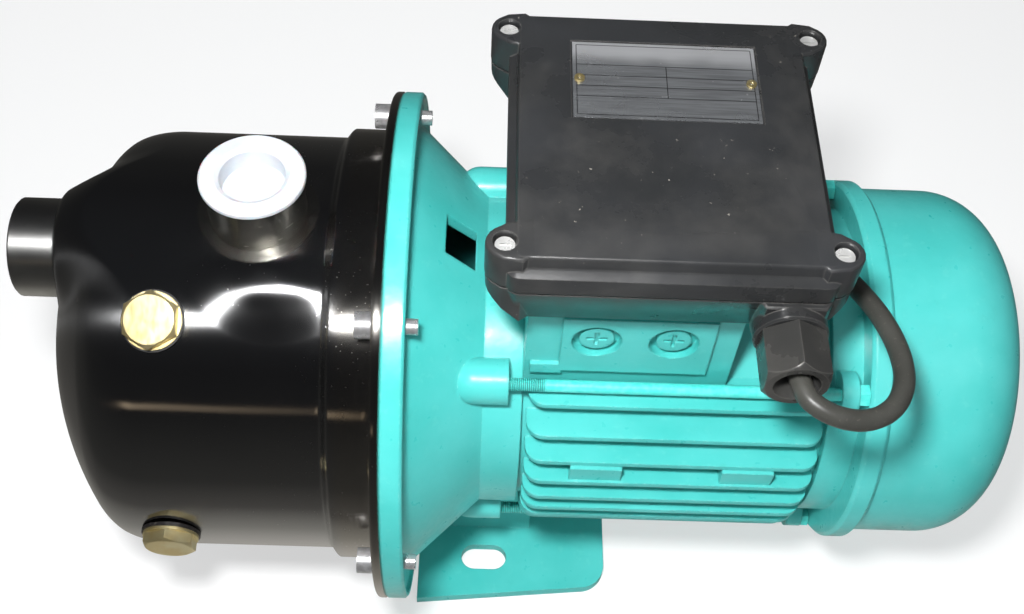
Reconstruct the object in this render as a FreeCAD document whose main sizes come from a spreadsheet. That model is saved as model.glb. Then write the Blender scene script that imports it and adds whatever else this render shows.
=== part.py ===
import FreeCAD, Part
import math
import os
import re

import Sketcher

from FreeCAD import Placement, Rotation, Vector

# Self-priming jet pump: a stainless pump casing on the left, a cast motor bracket, a finned
# motor and a fan cover on the right, with a terminal box on top and a foot below.
# Millimetres, +Z up. The origin is on the floor, under the shaft, between the foot's slots.
# Inside each body X runs along the shaft from the flange joint, and z = 0 is the shaft's axis.

SIZES = {
    # where the pump stands
    "axis_height": 112.0,
    "slot_x": 40.2,
    "running_gap": 0.05,
    "soft_gap": 0.3,
    # pump casing, a drawn stainless shell
    "barrel_r": 88.1,
    "casing_wall": 2.0,
    "corner_r": 24.2,
    "dome_r": 131.9,
    "dome_x": -141.7,
    "step_x": -24.2,
    "step_length": 3.4,
    "mouth_r": 92.0,
    "flange_r": 108.2,
    "lip_thickness": 3.9,
    "lip_round": 1.9,
    # hood around the suction port
    "suction_z": 60.5,
    "hood_face_x": -128.0,
    "hood_flat_r": 20.5,
    "hood_r": 38.0,
    "hood_round": 25.0,
    "hood_back_x": -95.0,
    # ports
    "suction_r": 19.5,
    "suction_end_x": -146.1,
    "suction_inner_x": -122.0,
    "thread_bore_r": 15.1,
    "thread_length": 19.0,
    "port_chamfer": 0.8,
    "discharge_x": -50.4,
    "discharge_r": 18.4,
    "discharge_top": 106.9,
    "discharge_inner": 80.0,
    "saddle_r": 22.8,
    "saddle_thickness": 0.7,
    "cap_r": 19.7,
    "cap_top": 109.3,
    "cap_recess_r": 13.6,
    "cap_recess_depth": 9.0,
    "cap_skirt_length": 13.0,
    "cap_wall": 1.4,
    "cap_rib_r": 14.4,
    # brass plugs
    "fill_plug_x": -84.7,
    "fill_plug_tilt": 30.0,
    "drain_plug_x": -86.0,
    "drain_plug_tilt": 96.0,
    "plug_flats": 19.0,
    "plug_hex_height": 4.6,
    "plug_collar_r": 11.0,
    "plug_collar_height": 1.2,
    "plug_thread_r": 8.3,
    "plug_thread_length": 11.0,
    "plug_seal_thickness": 1.4,
    "plug_chamfer": 0.7,
    "boss_r": 12.0,
    "boss_depth": 9.0,
    # flange screws
    "screw_circle_r": 101.8,
    "screw_count": 6,
    "screw_r": 3.0,
    "screw_head_r": 5.0,
    "screw_head_height": 6.0,
    "screw_socket_flats": 5.0,
    "screw_socket_depth": 3.0,
    "screw_stub": 4.4,
    # motor bracket
    "rim_width": 8.4,
    "rim_band": 7.0,
    "rim_recess": 3.2,
    "cone_front_r": 93.0,
    "cone_x": 36.7,
    "neck_r": 66.3,
    "neck_end_x": 52.0,
    "bracket_wall": 4.6,
    "web_thickness": 6.0,
    "hub_r": 25.0,
    "hub_length": 15.0,
    "window_x": 20.6,
    "window_length": 11.6,
    "window_width": 18.4,
    "window_y": -2.0,
    "rod_boss_r": 9.0,
    "rod_boss_out": 69.0,
    "rod_boss_nose_x": 24.0,
    "rod_boss_end_x": 46.4,
    # tie rods
    "rod_circle_r": 73.2,
    "rod_angle": 45.4,
    "rod_r": 2.5,
    "rod_start_x": 32.0,
    "rod_head_flats": 8.0,
    "rod_head_height": 3.8,
    # motor housing
    "housing_end_x": 172.0,
    "core_r": 62.4,
    "bore_r": 57.0,
    "fin_start_x": 54.0,
    "fin_end_x": 170.0,
    "fin_tip_r": 72.4,
    "fin_thickness": 2.6,
    "fin_pitch": 11.3,
    "fin_pairs": 4,
    "fin_corner_r": 7.0,
    "deck_half_width": 46.4,
    "deck_end_x": 130.4,
    "deck_wall": 4.0,
    "pad_x": 64.8,
    "pad_length": 56.0,
    "pad_out": 1.8,
    "pad_bottom": 58.0,
    "pad_top": 92.0,
    "pad_screw_x": 77.7,
    "pad_screw_pitch": 28.4,
    "pad_screw_z": 78.2,
    "pad_recess_r": 9.3,
    "pad_recess_depth": 4.0,
    "pad_screw_r": 6.4,
    "pad_screw_height": 2.6,
    "ledge_length": 12.0,
    "ledge_z": 59.0,
    "block_length": 20.5,
    "block_height": 8.6,
    "block_z": 16.9,
    "block_out": 70.4,
    "block_x": 72.0,
    "block_pitch": 60.0,
    # rear shield
    "shield_body_r": 66.0,
    "ring_x": 184.2,
    "ring_r": 77.4,
    "ring_width": 9.0,
    "ring_spigot_length": 6.0,
    "rear_lug_r": 8.4,
    "rear_lug_x": 173.6,
    "rear_lug_length": 6.6,
    "shield_web": 6.0,
    # fan cover
    "cover_r": 74.2,
    "cover_wall": 1.8,
    "cover_end_x": 253.6,
    "cover_round": 27.0,
    "cover_face_r": 44.0,
    "vent_length": 30.0,
    "vent_width": 4.0,
    "vent_count": 16,
    "vent_inner_r": 12.0,
    # terminal box
    "box_x": 98.1,
    "box_half_length": 52.0,
    "box_half_width": 58.0,
    "box_bottom": 103.4,
    "box_split": 118.0,
    "box_top": 139.2,
    "box_wall": 2.6,
    "box_corner": 5.0,
    "cover_inset": 2.0,
    "cover_bevel": 4.0,
    "base_taper": 2.0,
    "gasket_thickness": 1.0,
    "lug_x": 56.0,
    "lug_y": 50.3,
    "lug_r": 6.4,
    "lug_top_drop": 0.8,
    "lug_bottom": 109.0,
    "lug_sink_r": 4.1,
    "lug_sink_depth": 3.4,
    "box_screw_r": 2.0,
    "box_screw_head_r": 3.4,
    "box_screw_head_height": 1.9,
    "plate_x": 0.6,
    "plate_y": 24.9,
    "plate_length": 67.0,
    "plate_width": 37.6,
    "plate_thickness": 0.5,
    "plate_recess": 0.7,
    "plate_border": 0.6,
    "rivet_r": 1.9,
    "rivet_height": 0.8,
    "rivet_inset": 2.4,
    # cable gland
    "gland_x": 140.2,
    "gland_z": 110.0,
    "gland_block_half": 12.2,
    "gland_block_out": 66.0,
    "gland_nut_flats": 21.6,
    "gland_nut_length": 18.6,
    "gland_mouth_r": 7.4,
    "gland_mouth_depth": 5.0,
    "gland_bore_r": 5.2,
    "gland_thread_r": 8.0,
    # cable
    "cable_r": 3.7,
    "coil_x": 130.0,
    "coil_y": 215.0,
    "coil_r": 44.0,
    "coil_turns": 3.7,
    "plug_body_r": 18.5,
    "plug_back": 92.0,
    # rotating parts
    "shaft_r": 8.5,
    "shaft_front_r": 7.0,
    "shaft_seal_r": 8.0,
    "impeller_r": 60.0,
    "impeller_back_x": -8.0,
    "impeller_depth": 11.0,
    "shroud": 2.0,
    "eye_r": 19.0,
    "vane_count": 6,
    "vane_thickness": 2.2,
    "bearing_outer_r": 20.0,
    "bearing_width": 12.0,
    "front_bearing_x": 38.0,
    "rear_bearing_x": 174.0,
    "stack_x": 76.0,
    "stack_length": 78.0,
    "rotor_r": 30.0,
    "air_gap": 0.4,
    "stator_slots": 24,
    "stator_slot_depth": 13.0,
    "stator_slot_width": 4.6,
    "seal_plate_thickness": 3.0,
    "fan_r": 60.0,
    "fan_x": 199.0,
    "fan_width": 24.0,
    "fan_blades": 8,
    # foot
    "foot_thickness": 5.2,
    "foot_start_x": 9.2,
    "foot_end_x": 97.9,
    "foot_front_half": 73.0,
    "foot_rear_half": 65.6,
    "foot_corner": 12.0,
    "foot_slot_y": 51.2,
    "foot_slot_length": 21.4,
    "foot_slot_r": 6.2,
    "pedestal_half": 37.0,
    "pedestal_start_x": 24.0,
    "pedestal_end_x": 62.0,
    "pedestal_top_half": 26.0,
    "pedestal_wall": 4.0,
    "saddle_clear": 0.4,
}

doc = FreeCAD.newDocument("jet_pump")
sheet = doc.addObject("Spreadsheet::Sheet", "dims")
for row, (alias, value) in enumerate(SIZES.items(), start=1):
    sheet.set("A%d" % row, alias.replace("_", " "))
    sheet.set("B%d" % row, str(value))
    sheet.setAlias("B%d" % row, alias)
doc.recompute()

WORD = re.compile(r"[a-z_][a-z_0-9]*")


def bound(text):
    """An expression on the sheet: every size named in the text is read from its cell."""
    return WORD.sub(lambda m: "dims." + m.group() if m.group() in SIZES else m.group(), str(text))


def number(text):
    """The present value of such an expression."""
    value = sheet.evalExpression(bound(text))
    return float(getattr(value, "Value", value))


def stand(thing, x="0", y="0", z="0"):
    """Place a body or solid: its own zero is put at x, y, z from the flange joint on the shaft."""
    thing.Placement = Placement(
        Vector(number(x) - number("slot_x"), number(y), number(z) + number("axis_height")), Rotation()
    )
    thing.setExpression("Placement.Base.x", bound("(%s) - slot_x" % x))
    thing.setExpression("Placement.Base.y", bound(y))
    thing.setExpression("Placement.Base.z", bound("(%s) + axis_height" % z))


NODES = []


def new_body(label, x="0", y="0", z="0"):
    body = doc.addObject("PartDesign::Body", label)
    body.Label = label
    stand(body, x, y, z)
    NODES.append(body)
    return body


def origin_feature(body, role):
    for feature in body.Origin.OriginFeatures:
        if feature.Role == role:
            return feature
    raise ValueError(role)


def new_sketch(body, name, role, offset="0", tilt=None, shift=None):
    """A sketch on one of the body's planes, moved along its normal and tilted about local X."""
    sketch = body.newObject("Sketcher::SketchObject", name)
    sketch.AttachmentSupport = [(origin_feature(body, role), "")]
    sketch.MapMode = "FlatFace"
    turn = Rotation(Vector(1, 0, 0), number(tilt)) if tilt else Rotation()
    base = Vector(number(shift), 0, 0) if shift else Vector(0, 0, 0)
    base.z = number(offset)
    sketch.AttachmentOffset = Placement(base, turn)
    sketch.setExpression("AttachmentOffset.Base.z", bound(offset))
    if shift:
        sketch.setExpression("AttachmentOffset.Base.x", bound(shift))
    if tilt:
        sketch.setExpression("AttachmentOffset.Rotation.Angle", bound(tilt))
    sketch.Visibility = False
    return sketch


def hold(sketch, kind, geometry, point, text):
    """Fix one coordinate of a sketch point, or a radius, by an expression on the sheet."""
    if kind == "Radius":
        index = sketch.addConstraint(Sketcher.Constraint(kind, geometry, number(text)))
    else:
        index = sketch.addConstraint(Sketcher.Constraint(kind, geometry, point, number(text)))
    sketch.setExpression("Constraints[%d]" % index, bound(text))


def circle(sketch, x, y, radius):
    centre = Vector(number(x), number(y), 0)
    index = sketch.addGeometry(Part.Circle(centre, Vector(0, 0, 1), number(radius)), False)
    hold(sketch, "DistanceX", index, 3, x)
    hold(sketch, "DistanceY", index, 3, y)
    hold(sketch, "Radius", index, 0, radius)


def outline(sketch, points, arcs=None):
    """A closed outline. arcs gives, for the side that starts at a point, its radius and its hand:
    1 bulges to the left of the way it runs, -1 to the right. A half circle gives its centre's x too."""
    arcs = arcs or {}
    first = sketch.GeometryCount
    ends = []
    spots = [Vector(number(x), number(y), 0) for x, y in points]
    for i, start in enumerate(spots):
        stop = spots[(i + 1) % len(spots)]
        if i not in arcs:
            sketch.addGeometry(Part.LineSegment(start, stop), False)
            ends.append((1, 2))
            continue
        radius, hand = number(arcs[i][0]), arcs[i][1]
        chord = stop - start
        left = Vector(-chord.y, chord.x, 0).normalize()
        reach = math.sqrt(max(radius**2 - (chord.Length / 2) ** 2, 0.0))
        centre = start + chord * 0.5 - left * (hand * reach)
        top = centre + left * (hand * radius)
        sketch.addGeometry(Part.Arc(start, top, stop), False)
        ends.append((1, 2) if hand < 0 else (2, 1))
    for i, (x, y) in enumerate(points):
        back = i - 1 if i else len(points) - 1
        here = ends[i][0]
        sketch.addConstraint(Sketcher.Constraint("Coincident", first + back, ends[back][1], first + i, here))
        hold(sketch, "DistanceX", first + i, here, x)
        hold(sketch, "DistanceY", first + i, here, y)
        if i in arcs and len(arcs[i]) > 2:
            hold(sketch, "DistanceX", first + i, 3, arcs[i][2])
        elif i in arcs:
            hold(sketch, "Radius", first + i, 0, arcs[i][0])


def mirror_y(points):
    return [(x, "-(%s)" % y) for x, y in reversed(points)]


def revolve(body, name, points, arcs=None, cut=False):
    """Turn an outline in the x, radius plane about the body's own X axis."""
    sketch = new_sketch(body, name + "_outline", "XZ_Plane")
    outline(sketch, points, arcs)
    kind = "PartDesign::Groove" if cut else "PartDesign::Revolution"
    feature = body.newObject(kind, name)
    feature.Profile = sketch
    feature.ReferenceAxis = (sketch, ["H_Axis"])
    feature.Angle = 360
    body.Tip = feature
    return feature


def extrude(body, name, sketch, length, cut=False, taper=None, midplane=False):
    """Pad or pocket a sketch along its own normal."""
    feature = body.newObject("PartDesign::Pocket" if cut else "PartDesign::Pad", name)
    feature.Profile = sketch
    feature.Length = number(length)
    feature.setExpression("Length", bound(length))
    if cut:
        feature.Reversed = True
    if midplane:
        feature.Midplane = True
    if taper:
        feature.TaperAngle = number(taper)
        feature.setExpression("TaperAngle", bound(taper))
    body.Tip = feature
    return feature


def around(body, name, feature, count):
    """Repeat a feature evenly around the body's X axis."""
    pattern = body.newObject("PartDesign::PolarPattern", name)
    pattern.Originals = [feature] if not isinstance(feature, list) else feature
    pattern.Axis = (origin_feature(body, "X_Axis"), [""])
    pattern.Angle = 360
    pattern.Occurrences = int(number(count))
    pattern.setExpression("Occurrences", bound(count))
    body.Tip = pattern
    return pattern


def mirrored(body, name, features, role):
    copy = body.newObject("PartDesign::Mirrored", name)
    copy.Originals = features
    copy.MirrorPlane = (origin_feature(body, role), [""])
    body.Tip = copy
    return copy


def edges_where(shape, test):
    return ["Edge%d" % (i + 1) for i, edge in enumerate(shape.Edges) if test(edge)]


def soften(body, name, base, test, size, kind="Fillet"):
    """Fillet or chamfer the edges of the body's last feature that pass the test."""
    doc.recompute()
    names = edges_where(base.Shape, test)
    feature = body.newObject("PartDesign::" + kind, name)
    feature.Base = (base, names)
    prop = "Radius" if kind == "Fillet" else "Size"
    setattr(feature, prop, number(size))
    feature.setExpression(prop, bound(size))
    body.Tip = feature
    return feature


def polygon(sketch, x, y, flats, sides=6, turn=0.0):
    """A regular polygon by its width across flats, with its corners held by expressions."""
    points = []
    for i in range(sides):
        angle = turn + 360.0 * i / sides
        across = "(%s) / 2 / cos(%.6f)" % (flats, 180.0 / sides)
        points.append(
            ("(%s) + %s * %.9f" % (x, across, math.cos(math.radians(angle))),
             "(%s) + %s * %.9f" % (y, across, math.sin(math.radians(angle))))
        )
    outline(sketch, points)


def solid(kind, name, sizes):
    """A plain solid whose sizes are bound to the sheet."""
    thing = doc.addObject("Part::" + kind, name)
    for prop, text in sizes.items():
        setattr(thing, prop, number(text))
        thing.setExpression(prop, bound(text))
    return thing


# Pump casing.
# The dome is a small corner arc that runs into a large cap sphere; these name their meeting point.
CORNER_X = "(dome_x + dome_r - sqrt((dome_r - corner_r)^2 - (barrel_r - corner_r)^2))"
CAP_X = "(dome_x + dome_r)"
LEAN = "atan((barrel_r - corner_r) / sqrt((dome_r - corner_r)^2 - (barrel_r - corner_r)^2))"


def dome_points(inset):
    """Outline of the drawn dome and barrel, pulled in by the wall, from the mouth to the axis."""
    meet_x = "%s - (dome_r - (%s)) * cos(%s)" % (CAP_X, inset, LEAN)
    meet_r = "(dome_r - (%s)) * sin(%s)" % (inset, LEAN)
    return [
        ("step_x", "barrel_r - (%s)" % inset),
        (CORNER_X, "barrel_r - (%s)" % inset),
        (meet_x, meet_r),
        ("dome_x + (%s)" % inset, "0"),
    ]


casing = new_body("pump_casing")
shell = [("0", "0"), ("0", "flange_r - lip_round"), ("-lip_round", "flange_r"),
         ("-lip_thickness + lip_round", "flange_r"), ("-lip_thickness", "flange_r - lip_round"),
         ("-lip_thickness", "mouth_r"), ("step_x + step_length", "mouth_r")]
revolve(casing, "shell", shell + dome_points("0"),
        {1: ("lip_round", -1), 3: ("lip_round", -1), 8: ("corner_r", -1), 9: ("dome_r", -1)})


def hood(name, inset, cut):
    """The rounded hood around the suction port, turned about the port's axis."""
    sketch = new_sketch(casing, name + "_outline", "XZ_Plane")
    sketch.AttachmentOffset = Placement(Vector(0, number("suction_z"), 0), Rotation())
    sketch.setExpression("AttachmentOffset.Base.y", bound("suction_z"))
    face = "hood_face_x + (%s)" % inset
    reach = "hood_flat_r - (%s) / 2" % inset
    outer = "hood_r - (%s)" % inset
    outline(sketch, [("hood_back_x", "0"), ("hood_back_x", outer),
                     ("hood_face_x + (hood_r - hood_flat_r) * 1.35", outer),
                     (face, reach), (face, "0")],
            {2: ("hood_round", -1)})
    feature = casing.newObject("PartDesign::Groove" if cut else "PartDesign::Revolution", name)
    feature.Profile = sketch
    feature.ReferenceAxis = (sketch, ["H_Axis"])
    feature.Angle = 360
    casing.Tip = feature


hood("hood", "0", False)
inner = [("1", "0"), ("1", "mouth_r - casing_wall"), ("step_x + step_length", "mouth_r - casing_wall")]
revolve(casing, "hollow", inner + dome_points("casing_wall"),
        {4: ("corner_r - casing_wall", -1), 5: ("dome_r - casing_wall", -1)}, cut=True)
hood("hood_hollow", "casing_wall", True)

port = new_sketch(casing, "suction_hole_outline", "YZ_Plane", "hood_face_x - 10")
circle(port, "0", "suction_z", "suction_r")
extrude(casing, "suction_hole", port, "24", cut=True)
port = new_sketch(casing, "discharge_hole_outline", "XY_Plane", "barrel_r - 14")
circle(port, "discharge_x", "0", "discharge_r")
extrude(casing, "discharge_hole", port, "20", cut=True)
for plug, x, tilt in (("fill", "fill_plug_x", "fill_plug_tilt"), ("drain", "drain_plug_x", "drain_plug_tilt")):
    port = new_sketch(casing, plug + "_hole_outline", "XY_Plane", tilt=tilt, shift=x)
    circle(port, "0", "0", "plug_thread_r + running_gap")
    extrude(casing, plug + "_hole", port, "barrel_r + 10", cut=True)
port = new_sketch(casing, "screw_hole_outline", "YZ_Plane", "-lip_thickness - 2")
circle(port, "screw_circle_r", "0", "screw_r + 0.3")
around(casing, "screw_holes", extrude(casing, "screw_hole", port, "lip_thickness + 4", cut=True), "screw_count")

# Threaded suction socket, welded into the hood.
socket = new_body("suction_socket", z="suction_z")
revolve(socket, "tube", [
    ("suction_inner_x", "thread_bore_r + 1.6"), ("suction_inner_x", "suction_r"),
    ("suction_end_x + port_chamfer", "suction_r"), ("suction_end_x", "suction_r - port_chamfer"),
    ("suction_end_x", "thread_bore_r + port_chamfer * 1.5"),
    ("suction_end_x + port_chamfer * 1.5", "thread_bore_r"),
    ("suction_end_x + thread_length", "thread_bore_r"),
    ("suction_end_x + thread_length", "thread_bore_r + 1.6"),
])

# Discharge socket: a neck with a thin saddle that follows the barrel.
neck = solid("Cylinder", "neck", {"Radius": "discharge_r", "Height": "discharge_top - discharge_inner"})
stand(neck, "discharge_x", "0", "discharge_inner")
flare = solid("Cylinder", "saddle_disc", {"Radius": "saddle_r", "Height": "barrel_r - discharge_inner + 8"})
stand(flare, "discharge_x", "0", "discharge_inner")
skin = solid("Cylinder", "saddle_outer", {"Radius": "barrel_r + saddle_thickness", "Height": "saddle_r * 2 + 2"})
core = solid("Cylinder", "saddle_inner", {"Radius": "barrel_r", "Height": "saddle_r * 2 + 2"})
for roll in (skin, core):
    stand(roll, "discharge_x - saddle_r - 1")
    roll.Placement = Placement(roll.Placement.Base, Rotation(Vector(0, 1, 0), 90))
    roll.setExpression("Placement.Base.x", bound("discharge_x - saddle_r - 1 - slot_x"))
saddle = doc.addObject("Part::Common", "saddle_skin")
saddle.Base = skin
saddle.Tool = flare
saddle_ring = doc.addObject("Part::Cut", "saddle_ring")
saddle_ring.Base = saddle
saddle_ring.Tool = core
joined = doc.addObject("Part::Fuse", "neck_and_saddle")
joined.Base = neck
joined.Tool = saddle_ring
port_bore = solid("Cylinder", "discharge_bore", {"Radius": "thread_bore_r", "Height": "60"})
stand(port_bore, "discharge_x", "0", "discharge_inner - 10")
discharge = doc.addObject("Part::Cut", "discharge_socket")
discharge.Base = joined
discharge.Tool = port_bore
discharge.Label = "discharge_socket"
NODES.append(discharge)

# White transport cap, pushed into the discharge socket.
cap = new_body("discharge_cap", "discharge_x")
sketch = new_sketch(cap, "cap_outline", "XZ_Plane")
outline(sketch, [
    ("0", "cap_top - cap_recess_depth - cap_wall"), ("cap_recess_r", "cap_top - cap_recess_depth - cap_wall"),
    ("cap_recess_r", "discharge_top - cap_skirt_length"),
    ("cap_rib_r", "discharge_top - cap_skirt_length + 1"), ("cap_rib_r + 0.3", "discharge_top"),
    ("cap_r", "discharge_top"), ("cap_r", "cap_top - 0.8"), ("cap_r - 0.8", "cap_top"),
    ("cap_recess_r + 0.4", "cap_top"), ("cap_recess_r - cap_wall", "cap_top - 1.4"),
    ("cap_recess_r - cap_wall", "cap_top - cap_recess_depth"), ("0", "cap_top - cap_recess_depth"),
])
turned = cap.newObject("PartDesign::Revolution", "cap_solid")
turned.Profile = sketch
turned.ReferenceAxis = (sketch, ["V_Axis"])
turned.Angle = 360
cap.Tip = turned


# Brass screw plugs with their sealing washers, and the threaded bosses welded inside the barrel.
def face_out(body, x, tilt):
    """Turn a body so that its +Z points out of the barrel at the plug."""
    turn = Rotation(Vector(1, 0, 0), number(tilt))
    body.Placement = Placement(Vector(number(x) - number("slot_x"), 0, number("axis_height")), turn)
    body.setExpression("Placement.Base.x", bound(x + " - slot_x"))
    body.setExpression("Placement.Base.z", bound("axis_height"))
    body.setExpression("Placement.Rotation.Angle", bound(tilt))


SEAT = "barrel_r + plug_seal_thickness + 0.1"


def make_plug(label, x, tilt):
    body = new_body(label)
    face_out(body, x, tilt)
    disc = new_sketch(body, label + "_collar_outline", "XY_Plane", SEAT)
    circle(disc, "0", "0", "plug_collar_r")
    extrude(body, label + "_collar", disc, "plug_collar_height")
    hexagon = new_sketch(body, label + "_hex_outline", "XY_Plane", SEAT)
    polygon(hexagon, "0", "0", "plug_flats", turn=90.0)
    extrude(body, label + "_hex", hexagon, "plug_collar_height + plug_hex_height")
    bevel = new_sketch(body, label + "_bevel_outline", "XZ_Plane")
    top = SEAT + " + plug_collar_height + plug_hex_height"
    outline(bevel, [("plug_flats / 2 - 0.4", top), ("plug_flats / 2 + 3", top),
                    ("plug_flats / 2 + 3", top + " - plug_chamfer * 3")])
    cut = body.newObject("PartDesign::Groove", label + "_bevel")
    cut.Profile = bevel
    cut.ReferenceAxis = (bevel, ["V_Axis"])
    cut.Angle = 360
    thread = new_sketch(body, label + "_thread_outline", "XY_Plane", SEAT + " - plug_thread_length")
    circle(thread, "0", "0", "plug_thread_r")
    extrude(body, label + "_thread", thread, "plug_thread_length")

    seal = new_body(label.replace("plug", "seal"))
    face_out(seal, x, tilt)
    ring = new_sketch(seal, label + "_seal_outline", "XY_Plane", "barrel_r + 0.1")
    circle(ring, "0", "0", "plug_collar_r + 0.6")
    circle(ring, "0", "0", "plug_thread_r + 0.2")
    extrude(seal, label + "_seal_ring", ring, "plug_seal_thickness")


make_plug("priming_plug", "fill_plug_x", "fill_plug_tilt")
make_plug("drain_plug", "drain_plug_x", "drain_plug_tilt")


def make_boss(label, x, tilt):
    body = new_body(label)
    face_out(body, x, tilt)
    ring = new_sketch(body, label + "_outline", "XY_Plane", "barrel_r - casing_wall - 1 - boss_depth")
    circle(ring, "0", "0", "boss_r")
    circle(ring, "0", "0", "plug_thread_r + running_gap")
    extrude(body, label + "_ring", ring, "boss_depth")


make_boss("priming_boss", "fill_plug_x", "fill_plug_tilt")
make_boss("drain_boss", "drain_plug_x", "drain_plug_tilt")

# Six socket-head cap screws through the lip into the rim.
screws = new_body("flange_screws")
shank = new_sketch(screws, "shank_outline", "YZ_Plane", "-lip_thickness - screw_head_height")
circle(shank, "screw_circle_r", "0", "screw_head_r")
head = extrude(screws, "head", shank, "screw_head_height")
shank = new_sketch(screws, "thread_outline", "YZ_Plane", "-lip_thickness")
circle(shank, "screw_circle_r", "0", "screw_r")
thread = extrude(screws, "thread", shank, "lip_thickness + rim_width + screw_stub")
shank = new_sketch(screws, "socket_outline", "YZ_Plane", "-lip_thickness - screw_head_height - 0.1")
polygon(shank, "screw_circle_r", "0", "screw_socket_flats")
socket_cut = extrude(screws, "hex_socket", shank, "screw_socket_depth + 0.1", cut=True)
around(screws, "screw_ring", [head, thread, socket_cut], "screw_count")

# Motor bracket.
bracket = new_body("motor_bracket")
WALL = "bracket_wall"
revolve(bracket, "bell", [
    ("0", "cone_front_r - rim_band"), ("0", "flange_r - 0.6"), ("0.6", "flange_r"),
    ("rim_width - 1", "flange_r"), ("rim_width", "flange_r - 1"), ("rim_width", "flange_r - rim_band / 3"),
    ("rim_width - rim_recess / 2", "flange_r - rim_band / 2"),
    ("rim_width - rim_recess / 2", "cone_front_r + 1"),
    ("rim_width + 1.5", "cone_front_r - 1"), ("cone_x", "neck_r"), ("neck_end_x", "neck_r"),
    ("neck_end_x", "hub_r - 6"), ("neck_end_x - web_thickness / 3", "hub_r - 10.5"),
    ("front_bearing_x - 3", "hub_r - 10.5"), ("front_bearing_x - 3", "hub_r"),
    ("neck_end_x - web_thickness", "hub_r"), ("neck_end_x - web_thickness", "neck_r - bracket_wall"),
    ("cone_x - 1", "neck_r - bracket_wall"), ("rim_width", "cone_front_r - rim_band"),
])
revolve(bracket, "bearing_seat", [
    ("front_bearing_x", "0"), ("front_bearing_x", "bearing_outer_r"),
    ("neck_end_x + 1", "bearing_outer_r"), ("neck_end_x + 1", "0")], cut=True)
window = new_sketch(bracket, "window_outline", "XY_Plane", "40")
outline(window, [("window_x", "window_y - window_width / 2"), ("window_x + window_length", "window_y - window_width / 2"),
                 ("window_x + window_length", "window_y + window_width / 2"), ("window_x", "window_y + window_width / 2")])
extrude(bracket, "window", window, "80", cut=True)
window = new_sketch(bracket, "drain_window_outline", "XY_Plane", "-100")
outline(window, [("window_x", "-window_width / 2"), ("window_x + window_length", "-window_width / 2"),
                 ("window_x + window_length", "window_width / 2"), ("window_x", "window_width / 2")])
extrude(bracket, "drain_window", window, "56", cut=True)

ROD_Y = "rod_circle_r * cos(rod_angle)"
ROD_Z = "rod_circle_r * sin(rod_angle)"
CORNERS = (("near_top", "-", ""), ("near_low", "-", "-"), ("far_top", "", ""), ("far_low", "", "-"))
BOSS_Y = "rod_boss_out * cos(rod_angle)"
BOSS_Z = "rod_boss_out * sin(rod_angle)"
for name, side, height in CORNERS:
    boss = new_sketch(bracket, name + "_boss_outline", "XZ_Plane", "-(%s(%s))" % (side, BOSS_Y))
    level = "%s(%s)" % (height, BOSS_Z)
    boss.AttachmentOffset = Placement(Vector(0, number(level), boss.AttachmentOffset.Base.z), Rotation())
    boss.setExpression("AttachmentOffset.Base.y", bound(level))
    outline(boss, [("rod_boss_nose_x", "0"), ("rod_boss_nose_x + rod_boss_r", "rod_boss_r"),
                   ("rod_boss_end_x", "rod_boss_r"), ("rod_boss_end_x", "0")], {0: ("rod_boss_r", 1)})
    bullet = bracket.newObject("PartDesign::Revolution", name + "_boss")
    bullet.Profile = boss
    bullet.ReferenceAxis = (boss, ["H_Axis"])
    bullet.Angle = 360
    bracket.Tip = bullet
for name, side, height in CORNERS:
    hole = new_sketch(bracket, name + "_rod_outline", "YZ_Plane", "rod_start_x")
    circle(hole, "%s(%s)" % (side, ROD_Y), "%s(%s)" % (height, ROD_Z), "rod_r + running_gap")
    extrude(bracket, name + "_rod_hole", hole, "30", cut=True)
tapped = new_sketch(bracket, "tapped_outline", "YZ_Plane", "-1")
circle(tapped, "screw_circle_r", "0", "screw_r + running_gap")
around(bracket, "tapped_holes", extrude(bracket, "tapped_hole", tapped, "rim_width + 2", cut=True), "screw_count")

# Four long bolts that clamp the housing between the bracket and the rear shield.
rods = new_body("tie_rods")
for name, side, height in CORNERS:
    rod = new_sketch(rods, name + "_outline", "YZ_Plane", "rod_start_x")
    circle(rod, "%s(%s)" % (side, ROD_Y), "%s(%s)" % (height, ROD_Z), "rod_r")
    extrude(rods, name + "_rod", rod, "rear_lug_x + rear_lug_length - rod_start_x")
for name, side, height in CORNERS:
    hexagon = new_sketch(rods, name + "_head_outline", "YZ_Plane", "rear_lug_x + rear_lug_length")
    polygon(hexagon, "%s(%s)" % (side, ROD_Y), "%s(%s)" % (height, ROD_Z), "rod_head_flats")
    extrude(rods, name + "_head", hexagon, "rod_head_height")

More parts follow.
